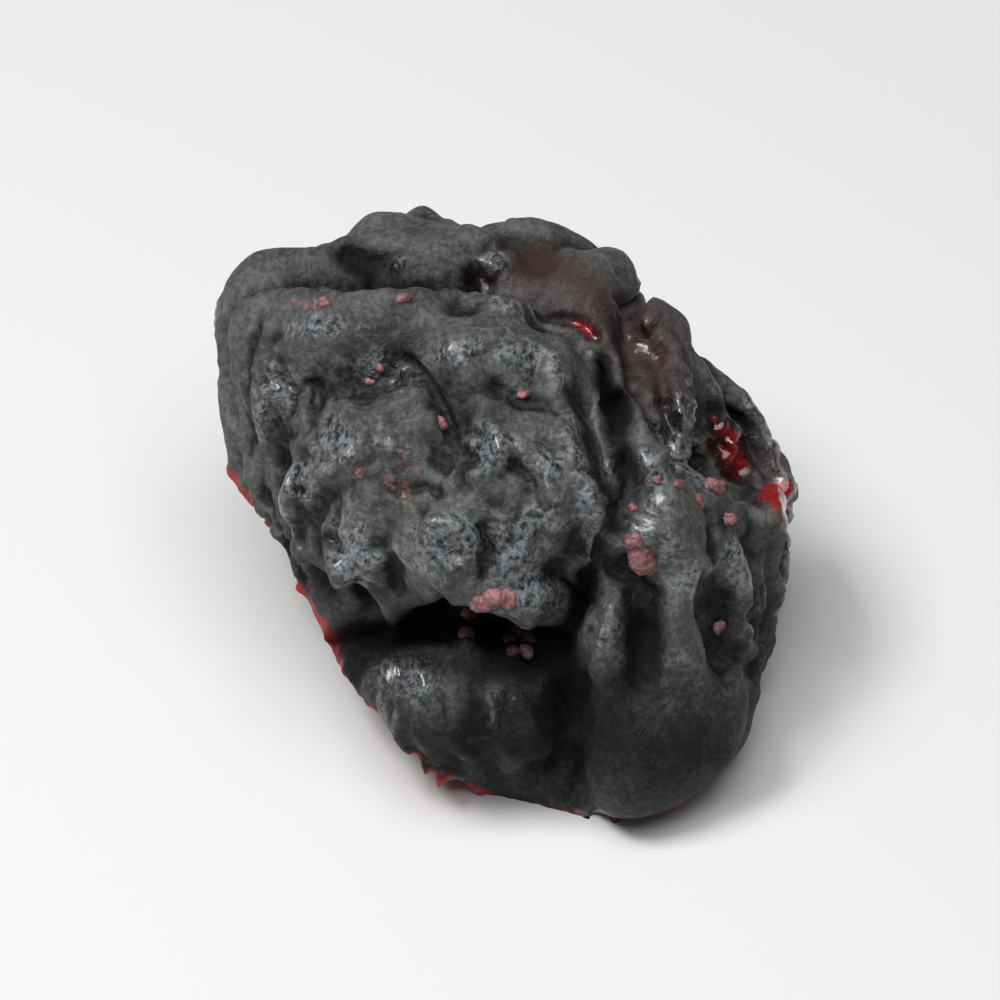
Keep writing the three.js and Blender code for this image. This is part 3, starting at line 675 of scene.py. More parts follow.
def noise_node(tree, where, scale, detail=3.0, rough=0.55, distortion=0.0, kind="FBM"):
    node = shader_node(tree, "ShaderNodeTexNoise", noise_type=kind)
    link(tree, where, node.inputs["Vector"])
    values = (("Scale", scale), ("Detail", detail), ("Roughness", rough), ("Distortion", distortion))
    for name, number in values:
        node.inputs[name].default_value = number
    return node.outputs["Fac"]


def bumped(tree, height, shader, strength):
    """Gives a shader small bumps."""
    bump = shader_node(tree, "ShaderNodeBump")
    bump.inputs["Strength"].default_value = strength
    bump.inputs["Distance"].default_value = GRAIN_DEPTH
    link(tree, height, bump.inputs["Height"])
    link(tree, bump.outputs["Normal"], shader.inputs["Normal"])


def light_inside(shader, weight, radius, scale):
    """Lets some light into what lies under the surface."""
    shader.inputs["Subsurface Weight"].default_value = weight
    shader.inputs["Subsurface Radius"].default_value = radius
    shader.inputs["Subsurface Scale"].default_value = scale


def grain_group():
    """Fine grain that more than one material uses: a height, a mask of painted glint flecks and a mask of
    the gaps between them.
    """
    if "dried_grain" in bpy.data.node_groups:
        return bpy.data.node_groups["dried_grain"]
    tree = bpy.data.node_groups.new("dried_grain", "ShaderNodeTree")
    tree.interface.new_socket("Vector", in_out="INPUT", socket_type="NodeSocketVector")
    tree.interface.new_socket("Scale", in_out="INPUT", socket_type="NodeSocketFloat")
    for name in ("Height", "Painted glint flecks", "Gaps"):
        tree.interface.new_socket(name, in_out="OUTPUT", socket_type="NodeSocketFloat")
    given = shader_node(tree, "NodeGroupInput", (-800, 0))
    out = shader_node(tree, "NodeGroupOutput", (600, 0))
    scaled = shader_node(tree, "ShaderNodeVectorMath", (-600, 0), operation="SCALE")
    link(tree, given.outputs["Vector"], scaled.inputs[0])
    link(tree, given.outputs["Scale"], scaled.inputs["Scale"])
    where = scaled.outputs["Vector"]
    coarse = noise_node(tree, where, scale=0.7, rough=0.62, distortion=0.15)
    crinkle = noise_node(tree, where, scale=0.42, detail=4.0, rough=0.6, distortion=1.2, kind=RIDGES)
    link(tree, plus(tree, crinkle, noise_node(tree, where, scale=1.1, rough=0.7)), out.inputs["Height"])
    link(tree, ranged(tree, coarse, 0.46, 0.6), out.inputs["Painted glint flecks"])
    link(tree, ranged(tree, coarse, 0.47, 0.36), out.inputs["Gaps"])
    return tree


def grain(tree, where, scale):
    node = shader_node(tree, "ShaderNodeGroup", node_tree=grain_group())
    link(tree, where, node.inputs["Vector"])
    node.inputs["Scale"].default_value = scale
    return node.outputs


def skin_colour(tree, colours, where, fine, masks):
    """Dark skin with a matt bloom, a painted bluish sheen where it shines, and painted glint flecks with
    gaps between them.
    """
    cloud = ranged(tree, noise_node(tree, where, scale=260.0, detail=4.0, rough=0.6), 0.32, 0.68, to_low=0.5)
    # The bloom's mask also carries painted shade in creases and low places, and painted light along lit
    # edges.
    bloom = times(tree, cloud, masks["bloom_painted_light_and_shade"])
    colour = mixed(tree, colours.skin_dark, colours.skin_olive, bloom)
    # Painted sheen: a bluish cast painted where the skin reflects the lights.
    colour = mixed(tree, colour, colours.painted_sheen, times(tree, masks["gloss_and_painted_sheen"], times(tree, bloom, 0.7)))
    spread = plus(tree, times(tree, masks["gloss_and_painted_sheen"], 0.76), 0.22)
    colour = mixed(tree, colour, colours.skin_dark, times(tree, fine["Gaps"], spread))
    # Painted highlight: pale bluish glints painted as flecks.
    painted_glints = times(tree, fine["Painted glint flecks"], times(tree, spread, plus(tree, bloom, 0.3, clamp=True)))
    colour = mixed(tree, colour, colours.painted_glint, painted_glints)
    return mixed(tree, colour, colours.skin_brown, masks["thin_skin"])


def flesh_colour(tree, colours, where):
    """Red fibres with a dry rosy bloom in blotches."""
    fibre = noise_node(tree, where, scale=900.0, detail=4.0, rough=0.6, distortion=0.8)
    blotch = ranged(tree, noise_node(tree, where, scale=520.0, detail=4.0, rough=0.6), 0.45, 0.7)
    red = mixed(tree, colours.flesh_dark, colours.flesh, ranged(tree, fibre, 0.35, 0.7))
    return mixed(tree, red, colours.flesh_pale, times(tree, blotch, 0.35))


def fruit_roughness(tree, where, masks):
    rough = ranged(tree, noise_node(tree, where, scale=420.0), 0.3, 0.7, to_low=0.52, to_high=0.68)
    rough = less(tree, rough, times(tree, masks["gloss_and_painted_sheen"], 0.27))
    rough = plus(tree, rough, times(tree, masks["deep"], 0.3))
    rough = plus(tree, rough, times(tree, masks["crumb_dust"], 0.15))
    return less(tree, rough, times(tree, masks["wet"], 0.5), clamp=True)


def fruit_height(tree, where, fine, masks):
    """Fine grain and wrinkles, less of them where the fruit is wet."""
    height = times(tree, fine["Height"], plus(tree, times(tree, masks["gloss_and_painted_sheen"], 0.9), 0.75))
    wrinkles = noise_node(tree, where, scale=700.0, detail=5.0, rough=0.6, distortion=0.5, kind=RIDGES)
    height = plus(tree, height, times(tree, wrinkles, 0.5))
    return times(tree, height, less(tree, 1.0, times(tree, masks["wet"], 0.6)))


def fruit_gloss(tree, masks):
    """Glossy where the fruit is wet or shines, and matt where painted shade darkens its hollows."""
    gloss = plus(tree, times(tree, masks["wet"], 0.9), times(tree, masks["gloss_and_painted_sheen"], 0.7), clamp=True)
    return times(tree, gloss, less(tree, 1.0, masks["deep"]))


def fruit_material(colours):
    material = bpy.data.materials.new("dried_fruit")
    material.use_nodes = True
    tree = material.node_tree
    fruit = tree.nodes["Principled BSDF"]
    where = shader_node(tree, "ShaderNodeTexCoord").outputs["Object"]
    masks = {name: mask(tree, name) for name in MASKS}
    fine = grain(tree, where, FRUIT_GRAIN)

    colour = skin_colour(tree, colours, where, fine, masks)
    colour = mixed(tree, colour, flesh_colour(tree, colours, where), masks["flesh"])
    colour = mixed(tree, colour, colours.cut_edge, masks["cut_edge"])
    # Wet flesh: bright red in places, partly a painted glow where light passes through it.
    juice_with_painted_glow = mixed(tree, colours.wet_dark, colours.wet, masks["juice_and_painted_glow"])
    colour = mixed(tree, colour, juice_with_painted_glow, masks["wet"])
    speck = noise_node(tree, where, scale=1500.0, detail=5.0, rough=0.75)
    speck = ranged(tree, speck, 0.42, 0.66, to_high=0.8)
    colour = mixed(tree, colour, colours.crumb, times(tree, masks["crumb_dust"], speck))
    # Painted shade: hollows and shaded places painted nearly black.
    colour = mixed(tree, colour, PAINTED_SHADE_BLACK, masks["deep"])
    link(tree, colour, fruit.inputs["Base Color"])
    link(tree, fruit_roughness(tree, where, masks), fruit.inputs["Roughness"])
    link(tree, fruit_gloss(tree, masks), fruit.inputs["Coat Weight"])
    bumped(tree, fruit_height(tree, where, fine, masks), fruit, 1.0)
    fruit.inputs["Coat Roughness"].default_value = 0.16
    fruit.inputs["Specular IOR Level"].default_value = 0.35
    fruit.inputs["IOR"].default_value = 1.44
    light_inside(fruit, 0.15, (1.0, 0.2, 0.1), 1.2 * MM)
    return material


def crumb_material(colours):
    material = bpy.data.materials.new("dried_crumb")
    material.use_nodes = True
    tree = material.node_tree
    crumb = tree.nodes["Principled BSDF"]
    where = shader_node(tree, "ShaderNodeTexCoord").outputs["Object"]
    share = ranged(tree, noise_node(tree, where, scale=900.0, detail=4.0, rough=0.65), 0.35, 0.68)
    link(tree, mixed(tree, colours.crumb_dark, colours.crumb, share), crumb.inputs["Base Color"])
    bumped(tree, grain(tree, where, CRUMB_GRAIN)["Height"], crumb, 0.6)
    crumb.inputs["Roughness"].default_value = 0.5
    light_inside(crumb, 0.4, (1.0, 0.3, 0.2), 1.0 * MM)
    return material


# Settings.


def colour_setting(name, description, value):
    return FloatVectorProperty(name=name, description=description, subtype="COLOR", default=value)


class PlumForm(bpy.types.PropertyGroup):
    height: FloatProperty(name="Crown height", description="From the surface it lies on to the crown",
                          default=28.4 * MM, unit="LENGTH")
    cuts: IntProperty(name="Skin quads", description="Quads along each side of the first ball",
                      default=62, min=8)
    fold_growth: FloatProperty(name="Spare skin", default=0.12, subtype="FACTOR",
                               description="How much longer the skin is than its flesh, all ways")
    pleat_growth: FloatProperty(name="Spare skin round the edge", default=0.10, subtype="FACTOR",
                                description="How much longer the skin is round the fruit near its cut edge")


class PlumColours(bpy.types.PropertyGroup):
    skin_dark: colour_setting("Dark skin", "Skin in its darkest parts", (0.007, 0.0075, 0.0078))
    skin_olive: colour_setting("Olive skin", "Skin where it is a little paler", (0.098, 0.100, 0.092))
    skin_brown: colour_setting("Thin skin", "Skin where it is thin over red flesh", (0.044, 0.022, 0.021))
    # Painted sheen and painted glints: colours that stand for reflections of the lights.
    painted_sheen: colour_setting("Sheen", "Bluish cast of the skin where it shines", (0.122, 0.131, 0.142))
    painted_glint: colour_setting("Painted glint flecks", "Pale bluish flecks on the skin", (0.215, 0.235, 0.258))
    flesh: colour_setting("Flesh", "Dried flesh on the cut side", (0.24, 0.030, 0.028))
    flesh_dark: colour_setting("Deep flesh", "Flesh in its darker parts", (0.06, 0.008, 0.010))
    flesh_pale: colour_setting("Pale flesh", "Dry rosy bloom on the flesh", (0.42, 0.16, 0.15))
    cut_edge: colour_setting("Cut edge", "The thin red line where the fruit was cut", (0.36, 0.034, 0.024))
    # Bright wet red, partly a painted glow where light passes through the flesh.
    wet: colour_setting("Wet flesh", "Torn places that are still wet", (0.25, 0.006, 0.007))
    wet_dark: colour_setting("Deep wet flesh", "Wet flesh in its darkest parts", (0.012, 0.002, 0.002))
    crumb: colour_setting("Crumbs", "Crumbs of dried flesh on the skin", (0.32, 0.145, 0.15))
    crumb_dark: colour_setting("Dark crumbs", "Crumbs in their darker parts", (0.13, 0.056, 0.06))


class PlumStage(bpy.types.PropertyGroup):
    floor_size: FloatProperty(name="Floor", description="Side of the pale floor", default=1.6, unit="LENGTH")
    floor_colour: colour_setting("Floor colour", "Colour of the pale floor", (0.74, 0.75, 0.74))
    elevation: FloatProperty(name="Camera height", description="How far the camera looks down",
                             subtype="ANGLE", default=math.radians(42))
    distance: FloatProperty(name="Camera distance", description="From the camera to the fruit",
                            default=0.46, unit="LENGTH")


# Where the cut edge is torn into shreds that stand out: eye, middle, reach, turn in degrees, strength.
SHREDS = [
    (FRONT, (-7.8, -13.4), (0.7, 0.9), 0, 0.8), (FRONT, (-4, -17.2), (2.6, 1.6), -30, 2.6),
    (FRONT, (2.8, -17.8), (1.8, 1.2), 0, 0.6), (FRONT, (6.5, -19.8), (2.4, 1.4), -20, 2.0),
    (BACK, (-6, -16), (3, 2), 0, 1.0), (RIGHT, (2, -6), (3, 2), 0, 0.8),
]
# Masks on the skin: eye, middle, reach, turn in degrees, strength.
# Bright juice: partly real red, partly a painted glow where light passes through the wet flesh.
JUICE_AND_PAINTED_GLOW = [
    (FRONT, (16.2, 4.6), (1.1, 2.2), 20, 1.1), (FRONT, (14.8, 7.4), (0.7, 0.8), 0, 0.8),
    (FRONT, (19.4, 1.4), (1.6, 2.2), 0, 2.0), (FRONT, (5.9, 13.0), (1.7, 0.8), -35, 0.9),
    (FRONT, (-1.6, 15.4), (0.7, 0.8), 0, 0.7),
]
WET = [
    (FRONT, (15.7, 4.9), (1.8, 2.9), 20, 1.3), (FRONT, (-1.3, 16.4), (1.5, 1.5), 0, 1.2),
    (FRONT, (5.9, 13.0), (1.7, 0.6), -35, 1.2), (FRONT, (19.4, 1.4), (1.5, 2.2), 0, 1.4),
    (FRONT, (12.4, 7.0), (0.8, 2.0), 25, 0.8), (FRONT, (10.0, 12.8), (0.5, 1.6), 20, 0.8),
]
THIN = [
    (FRONT, (2.2, 17.4), (2.4, 2.4), 0, 1.2), (FRONT, (6.5, 15.5), (3.5, 2.5), -30, 0.8),
    (FRONT, (10.5, 11), (2.6, 4.5), 15, 0.9), (FRONT, (19, 3.4), (1.5, 2.2), 0, 0.8),
    (BACK, (6, 5), (4, 3), 0, 0.7),
]
DUST = [
    (FRONT, (-13, 14.6), (2.8, 0.45), 0, 1.2), (FRONT, (-6.6, 14.8), (1.0, 0.5), 0, 1.2),
    (FRONT, (-2, -6), (3, 1), 0, 0.5), (FRONT, (-16, 12), (1, 0.8), 0, 0.7),
    (FRONT, (-8, 9.3), (1.3, 1.5), 0, 0.7), (FRONT, (-6.4, 2.5), (1.6, 2.4), 0, 0.9),
    (FRONT, (1.6, 8.4), (0.6, 0.6), 0, 0.9), (FRONT, (13.5, 0.5), (2, 1.6), 0, 0.8),
    (FRONT, (9, 1.0), (1, 0.8), 0, 0.8),
]
# Glossy places, where a painted sheen and painted glints also go.
GLOSS_AND_PAINTED_SHEEN = [
    (FRONT, (-15.0, 8.4), (1.7, 2.4), 10, 1.1), (FRONT, (-11.0, 5.2), (2.0, 2.2), -20, 1.1),
    (FRONT, (-13.4, 2.6), (1.3, 1.2), 0, 1.2), (FRONT, (-9.8, -2.6), (1.5, 3.4), 12, 1.1),
    (FRONT, (-3.8, -1.4), (2.8, 2.0), 20, 1.2), (FRONT, (-0.8, 4.8), (2.0, 1.8), 0, 1.0),
    (FRONT, (2.2, -1.0), (2.0, 2.6), -25, 1.0), (FRONT, (-6.0, -10.6), (2.4, 1.4), -15, 1.3),
    (FRONT, (0.8, -13.0), (2.0, 1.6), 30, 1.2), (FRONT, (6.0, 0.2), (0.8, 2.8), 5, 1.1),
    (FRONT, (-2.6, 11.2), (2.6, 1.0), 10, 0.8), (FRONT, (-7.0, 17.6), (0.8, 0.6), 0, 1.0),
    (FRONT, (-12.0, 13.0), (3.4, 0.8), 0, 0.8), (FRONT, (2.2, 10.2), (1.4, 1.4), 0, 0.8),
    (FRONT, (5.8, -6.4), (0.9, 1.1), 0, 0.9), (FRONT, (1.5, -4.4), (2.0, 1.4), 0, 0.9),
    (FRONT, (13.0, 4.6), (2.0, 2.8), 10, 1.2), (FRONT, (9.8, 12.2), (0.8, 1.8), 20, 1.1),
    (FRONT, (11.4, -2.0), (1.6, 1.6), 0, 0.6), (FRONT, (-8.6, 10.4), (2.2, 1.2), 30, 0.7),
    (FRONT, (-0.2, 17.8), (1.0, 0.8), 0, 1.4), (FRONT, (16.2, -4.0), (1.2, 1.6), 0, 0.4),
    (FRONT, (-9.0, -9.6), (0.8, 0.8), 0, 0.9), (FRONT, (5.2, 6.0), (0.7, 2.0), 0, 0.8),
    (FRONT, (3.4, -5.0), (1.8, 1.4), 0, 1.3), (FRONT, (12.0, 6.4), (1.4, 3.0), 20, 0.9),
    (FRONT, (-6.6, 9.0), (1.6, 1.8), 0, 0.6), (FRONT, (3.6, 4.0), (1.6, 1.4), 0, 0.7),
    (FRONT, (-7.2, 5.0), (1.2, 1.2), 0, 0.6),
]
SHADED = [
    (FRONT, (-6, -9.4), (5, 0.7), -8, 1.1), (FRONT, (0.6, -10.0), (3.4, 1.0), -8, 1.2),
    (FRONT, (3.8, -11.6), (2.0, 3.0), -10, 1.6), (FRONT, (7.8, -11.5), (2.0, 4.0), -15, 0.7),
    (FRONT, (9.8, -7.8), (1.1, 2.8), 0, 2.4), (FRONT, (14.9, -6.9), (0.9, 1.8), 0, 1.1),
    (FRONT, (-10.0, -10.4), (1.4, 1.7), -40, 2.0), (FRONT, (-1.6, -13.6), (0.8, 2.6), 0, 1.3),
    (FRONT, (1.2, -12.4), (1.4, 1.6), 0, 0.7), (FRONT, (-2, -15.6), (8, 2.4), 0, 1.1),
    (FRONT, (-4, -12.5), (5, 2.5), 0, 0.5), (FRONT, (1.2, -13.6), (1.6, 1.8), 0, 1.3),
    (FRONT, (12, -15.5), (8, 5), 0, 1.1), (FRONT, (18, -6), (2, 5), 0, 0.7),
    (FRONT, (-9.4, 17.3), (2.2, 1.3), -35, 2.0), (FRONT, (-5, 16.3), (3.4, 0.8), 0, 0.6),
    (FRONT, (-1.8, 16.2), (1.3, 2.2), 20, 1.0), (FRONT, (-8, 15.6), (7, 0.6), 0, 0.6),
    (FRONT, (12.0, 6.6), (1.8, 3.4), 20, 0.9), (FRONT, (10.2, 11.6), (1.0, 3.0), 20, 0.6),
    (FRONT, (-3.6, 8.2), (0.7, 2.4), -20, 0.7), (FRONT, (5.8, -5.0), (0.8, 2.0), -20, 1.1),
    (FRONT, (-12.6, -3.5), (1.2, 3.5), 15, 0.3), (FRONT, (7.7, 6.4), (0.7, 3), -8, 0.5),
    (FRONT, (7.2, 9.9), (0.45, 1.6), 0, 2.4), (FRONT, (8.3, 7.4), (0.95, 1.3), -20, 3.0),
    (FRONT, (8.6, 3.9), (0.6, 1.8), 10, 2.6),
]
# Painted light: places painted paler along edges and ridges where the skin catches the light.
PAINTED_EDGE_LIGHT = [
    (FRONT, (-18.5, 11), (0.8, 4.6), 5, 1.6), (FRONT, (-18.0, 6), (0.7, 3), 10, 1.2),
    (FRONT, (-8, 20.9), (6, 0.5), 3, 0.7), (FRONT, (4, 20.3), (5, 0.5), -10, 0.6),
    (FRONT, (6.2, 9.4), (0.5, 3), 0, 0.6), (FRONT, (6.3, 1), (0.5, 2.6), 0, 0.8),
    (FRONT, (9.2, 5.4), (0.4, 2.6), -10, 1.4), (FRONT, (-16.6, 14.9), (1.6, 0.6), 10, 0.5),
    (FRONT, (17.6, -2), (1.6, 2), 0, 0.4), (FRONT, (13.0, -4.0), (2.5, 0.8), 0, 0.3),
]


def spots(points, sight, table):
    total = np.zeros(len(points))
    for view, at, reach, turn, strength in table:
        total += strength * spot(points, view, sight.seen(view, at), reach, turn)
    return total


class OBJECT_OT_plum_fruit(bpy.types.Operator):
    """Build the fruit: its form, its buckled skin, its masks and its material"""
    bl_idname = "object.plum_fruit"
    bl_label = "Add Dried Plum Half"

    def execute(self, context):
        form, colours = context.scene.plum_form, context.scene.plum_colours
        height = form.height / MM
        deselect()
        bpy.ops.mesh.primitive_cube_add(size=2)
        fruit = context.object
        fruit.name = "plum_half"
        fruit.data.name = "plum_half"
        bpy.ops.object.mode_set(mode="EDIT")
        bpy.ops.mesh.subdivide(number_cuts=form.cuts - 1)
        bpy.ops.object.mode_set(mode="OBJECT")
        mesh = fruit.data
        cube, quads = grid_of(mesh)
        direction = unit(np.tan(cube * math.pi / 4))

        start = sunk(lipped(shaped(direction, quads, height), quads), quads, VALLEYS, VALLEY_ENDS)
        growth, pleat = self.spare_skin(direction, start, quads, form)
        base = buckle(start, quads, growth, pleat, hold=0.022, bend=0.1, steps=160, seed=3)
        base = kept_size(base, start, normals_of(start, quads), quads, times=50)
        put_points(mesh, base)
        attribute = mesh.attributes.new("direction", "FLOAT_VECTOR", "POINT")
        attribute.data.foreach_set("vector", direction.astype(np.float32).ravel())
        finer = fruit.modifiers.new("finer", "SUBSURF")
        finer.levels = finer.render_levels = 1
        bpy.ops.object.modifier_apply(modifier="finer")

        base, quads = grid_of(mesh)
        direction = np.empty(len(mesh.vertices) * 3)
        mesh.attributes["direction"].data.foreach_get("vector", direction)
        direction = unit(direction.reshape(-1, 3))
        mesh.attributes.remove(mesh.attributes["direction"])
        base = stroked(base, quads)
        growth, pleat = self.spare_skin(direction, base, quads, form)
        base = buckle(base, quads, 0.8 * growth, 0.5 * pleat, hold=0.02, bend=0.05, steps=80, seed=5)
        base = evened(base, quads, strength=0.3, times=1)
        base = self.ragged_edge(base, direction, quads)
        base = self.pebbled(base, direction, quads)
        base = sunk(base, quads, PITS, PIT_ENDS)
        base = self.beaded(base, quads)
        base[:, 2] = np.maximum(base[:, 2], 0)
        self.paint(mesh, base, direction, quads)
        put_points(mesh, (base + SHIFT) * MM)
        mesh.materials.append(fruit_material(colours))
        bpy.ops.object.shade_smooth()
        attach(fruit, "root")
        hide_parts("dried_plum")
        return {"FINISHED"}

    def calm(self, points, quads):
        calm = np.zeros(len(points))
        sight = Sight(points, quads)
        for view, at, reach, most in CALM:
            here = spot(points, view, sight.seen(view, at), reach)
            calm = np.maximum(calm, np.minimum(1.6 * most * here, most))
        return calm

    def spare_skin(self, direction, points, quads, form):
        share = share_of(direction)
        skin = 1 - smoothstep(share, 0.56, 0.66)
        calm = self.calm(points, quads)
        rough = 0.75 + 0.5 * noise_at(points, size=7.0, seed=2)
        growth = form.fold_growth * skin * (1 - calm) * rough
        pleat = form.pleat_growth * skin * smoothstep(share, 0.22, 0.45) * (1 - 0.6 * calm)
        return growth, pleat

    def ragged_edge(self, points, direction, quads):
        """Draws the cut edge out into a thin lip, torn here and there."""
        share = share_of(direction)
        sight = Sight(points, quads)
        near = np.exp(-((share - edge_at(direction)) / 0.011) ** 2)
        torn = noise_at(points, size=1.4, seed=8) + 0.6 * noise_at(points, size=0.6, seed=9)
        torn = np.clip(torn + 0.25, 0, 1)
        reach = 0.35 + 0.8 * spots(points, sight, SHREDS)
        out = unit(direction * (1, 1, 0))
        return points + out * (near * torn * reach)[:, None]

    def pebbled(self, points, direction, quads):
        """Puckers the skin and gives it its fine unevenness, strongest where it shines."""
        sight = Sight(points, quads)
        gloss_and_painted_sheen = np.clip(spots(points, sight, GLOSS_AND_PAINTED_SHEEN), 0, 1)
        pucker = 0.4 * (1 - self.calm(points, quads))
        for at, reach, most in PUCKERED:
            here = spot(points, FRONT, sight.seen(FRONT, at), reach)
            pucker = np.maximum(pucker, np.minimum(1.5 * most * here, most))
        skin = 1 - smoothstep(share_of(direction) - edge_at(direction), -0.02, 0)
        billow = sum(rise * (np.abs(noise_at(points, size, seed)) - 0.2) for rise, size, seed in BILLOWS)
        fine = noise_at(points, size=0.7, seed=21) + 0.5 * noise_at(points, size=0.4, seed=22)
        height = skin * (pucker * billow + (0.015 + 0.07 * gloss_and_painted_sheen) * fine)
        return points + normals_of(points, quads) * height[:, None]

    def beaded(self, points, quads):
        sight = Sight(points, quads)
        rise = sum(height * spot(points, FRONT, sight.seen(FRONT, at), reach) for at, reach, height in BEADS)
        lumpy = 1 + 0.8 * noise_at(points, size=0.6, seed=41)
        return points + np.outer(rise * lumpy, FRONT["towards"])

    def paint(self, mesh, points, direction, quads):
        """Stores the masks that the material reads."""
        sight = Sight(points, quads)
        share = share_of(direction)
        waver = 0.008 * noise_at(points, size=2.2, seed=1) + 0.006 * noise_at(points, size=0.8, seed=4)
        past = share + waver - edge_at(direction)
        torn = 0.012 * noise_at(points, size=1.2, seed=14)
        ragged = noise_at(points, size=1.1, seed=11) + 0.5 * noise_at(points, size=0.45, seed=12)
        flesh = smoothstep(past, 0, 0.02)
        cut_edge = smoothstep(past, -0.012, -0.004) * (1 - smoothstep(past + torn, 0.008, 0.03))
        new_attribute(mesh, "flesh", flesh)
        new_attribute(mesh, "cut_edge", cut_edge)

        wet = smoothstep(spots(points, sight, WET) + 0.35 * ragged, 0.62, 0.82)
        juice_with_painted_glow = spots(points, sight, JUICE_AND_PAINTED_GLOW) + 0.5 * noise_at(points, size=0.9, seed=13)
        dust = smoothstep(spots(points, sight, DUST) + 0.6 * ragged, 0.55, 1.0)
        new_attribute(mesh, "wet", wet * (1 - flesh))
        new_attribute(mesh, "juice_and_painted_glow", smoothstep(juice_with_painted_glow, 0.35, 1.0))
        new_attribute(mesh, "thin_skin", spots(points, sight, THIN) * (1 - flesh))
        new_attribute(mesh, "crumb_dust", dust * (1 - flesh))

        broad = relief(points, quads, times=60)
        patches = smoothstep(noise_at(points, size=5.0, seed=51), -0.1, 0.3)
        # Gloss and painted sheen, also on raised skin where the light catches it.
        elsewhere = 0.75 * smoothstep(broad, 0.1, 0.5) * (1 - self.calm(points, quads)) * patches
        gloss_and_painted_sheen = np.maximum(spots(points, sight, GLOSS_AND_PAINTED_SHEEN), elsewhere) + 0.4 * ragged
        new_attribute(mesh, "gloss_and_painted_sheen", smoothstep(gloss_and_painted_sheen, 0.22, 0.75) * (1 - flesh))

        shade = spots(points, sight, SHADED)
        # Painted shade in the hollows and the shaded places.
        new_attribute(mesh, "deep", self.painted_hollow_shade(points, quads, shade + 0.25 * ragged))
        # Bloom, paler on raised skin; painted shade darkens it in creases, towards the bottom and in the
        # shaded places, and painted light adds to it along lit edges and ridges.
        raised = smoothstep(relief(points, quads, times=14) + 0.3 * broad, -0.2, 0.14)
        high = smoothstep(points[:, 2] + 3 * noise_at(points, size=8.0, seed=52), 4.0, 14.0)
        bloom = raised * (0.34 + 0.66 * high) * 0.8 * (1 - 0.85 * np.clip(shade, 0, 1))
        new_attribute(mesh, "bloom_painted_light_and_shade", bloom + 0.4 * spots(points, sight, PAINTED_EDGE_LIGHT))

    def painted_hollow_shade(self, points, quads, shade):
        """How dark painted shade makes the hollows and the shaded places."""
        deep = np.zeros(len(points))
        for pits, narrow in ((VALLEYS, VALLEY_ENDS), (PITS, PIT_ENDS)):
            for (_, _, _, dark), inside in zip(pits, hollow_shares(points, quads, pits, narrow, wider=1.1)):
                deep = np.maximum(deep, dark * inside)
        return np.maximum(deep, np.clip(shade - 0.7, 0, 0.9))


# Crumbs stuck to the skin: middle as the front eye sees it, size, turn in degrees.
CRUMBS = [
    ((9.5, -2.3), (1.9, 2.7), 25), ((9.0, -1.3), (1.3, 1.0), 0), ((10.0, -2.9), (1.2, 1.3), 0),
    ((-1.9, -6.2), (1.3, 1.1), 40), ((-1.2, -5.5), (1.5, 1.2), 10), ((-0.3, -5.1), (1.5, 1.2), 0),
    ((0.6, -5.2), (1.4, 1.1), -10), ((-2.1, -7.7), (0.9, 1.4), 10), ((0.7, -8.0), (0.9, 1.1), 0),
    ((1.3, -7.5), (1.1, 0.8), 0), ((2.0, -8.0), (0.9, 1.0), 0), ((1.9, -8.8), (1.0, 0.9), 0),
    ((1.1, -8.9), (1.0, 0.8), 0), ((14.9, -7.3), (0.9, 1.1), 0), ((-3.9, 6.5), (0.9, 1.1), 20),
    ((13.5, 1.4), (1.0, 0.9), 0), ((14.4, 2.3), (1.2, 1.2), 15), ((15.1, 2.2), (1.1, 1.0), 0),
    ((15.6, 0.2), (1.1, 0.9), 0), ((9.0, 0.9), (0.7, 0.6), 0), ((-8.6, 9.4), (0.6, 0.5), 0),
    ((-8.0, 10.3), (0.5, 0.5), 0), ((-6.4, 14.9), (0.9, 0.5), 0), ((-13.8, 14.8), (0.7, 0.4), 0),
    ((-11.6, 14.7), (0.6, 0.4), 0), ((1.7, 8.4), (0.7, 0.5), 0), ((-9.2, 3.2), (0.6, 0.6), 0),
    ((-6.2, 1.6), (0.7, 0.5), 40), ((10.6, 2.8), (0.8, 0.6), 0), ((12.0, 2.4), (0.6, 0.5), 30),
]
CRUMB_RISE = 0.36  # how thick they are for their width
CRUMB_GRID = 0.06 * MM  # size of the grid that fuses crumbs that touch
# Unevenness of the crumbs: name, size and strength.
CRUMB_BUMPS = (("lumps", 0.9 * MM, 0.55 * MM), ("grains", 0.3 * MM, 0.22 * MM))


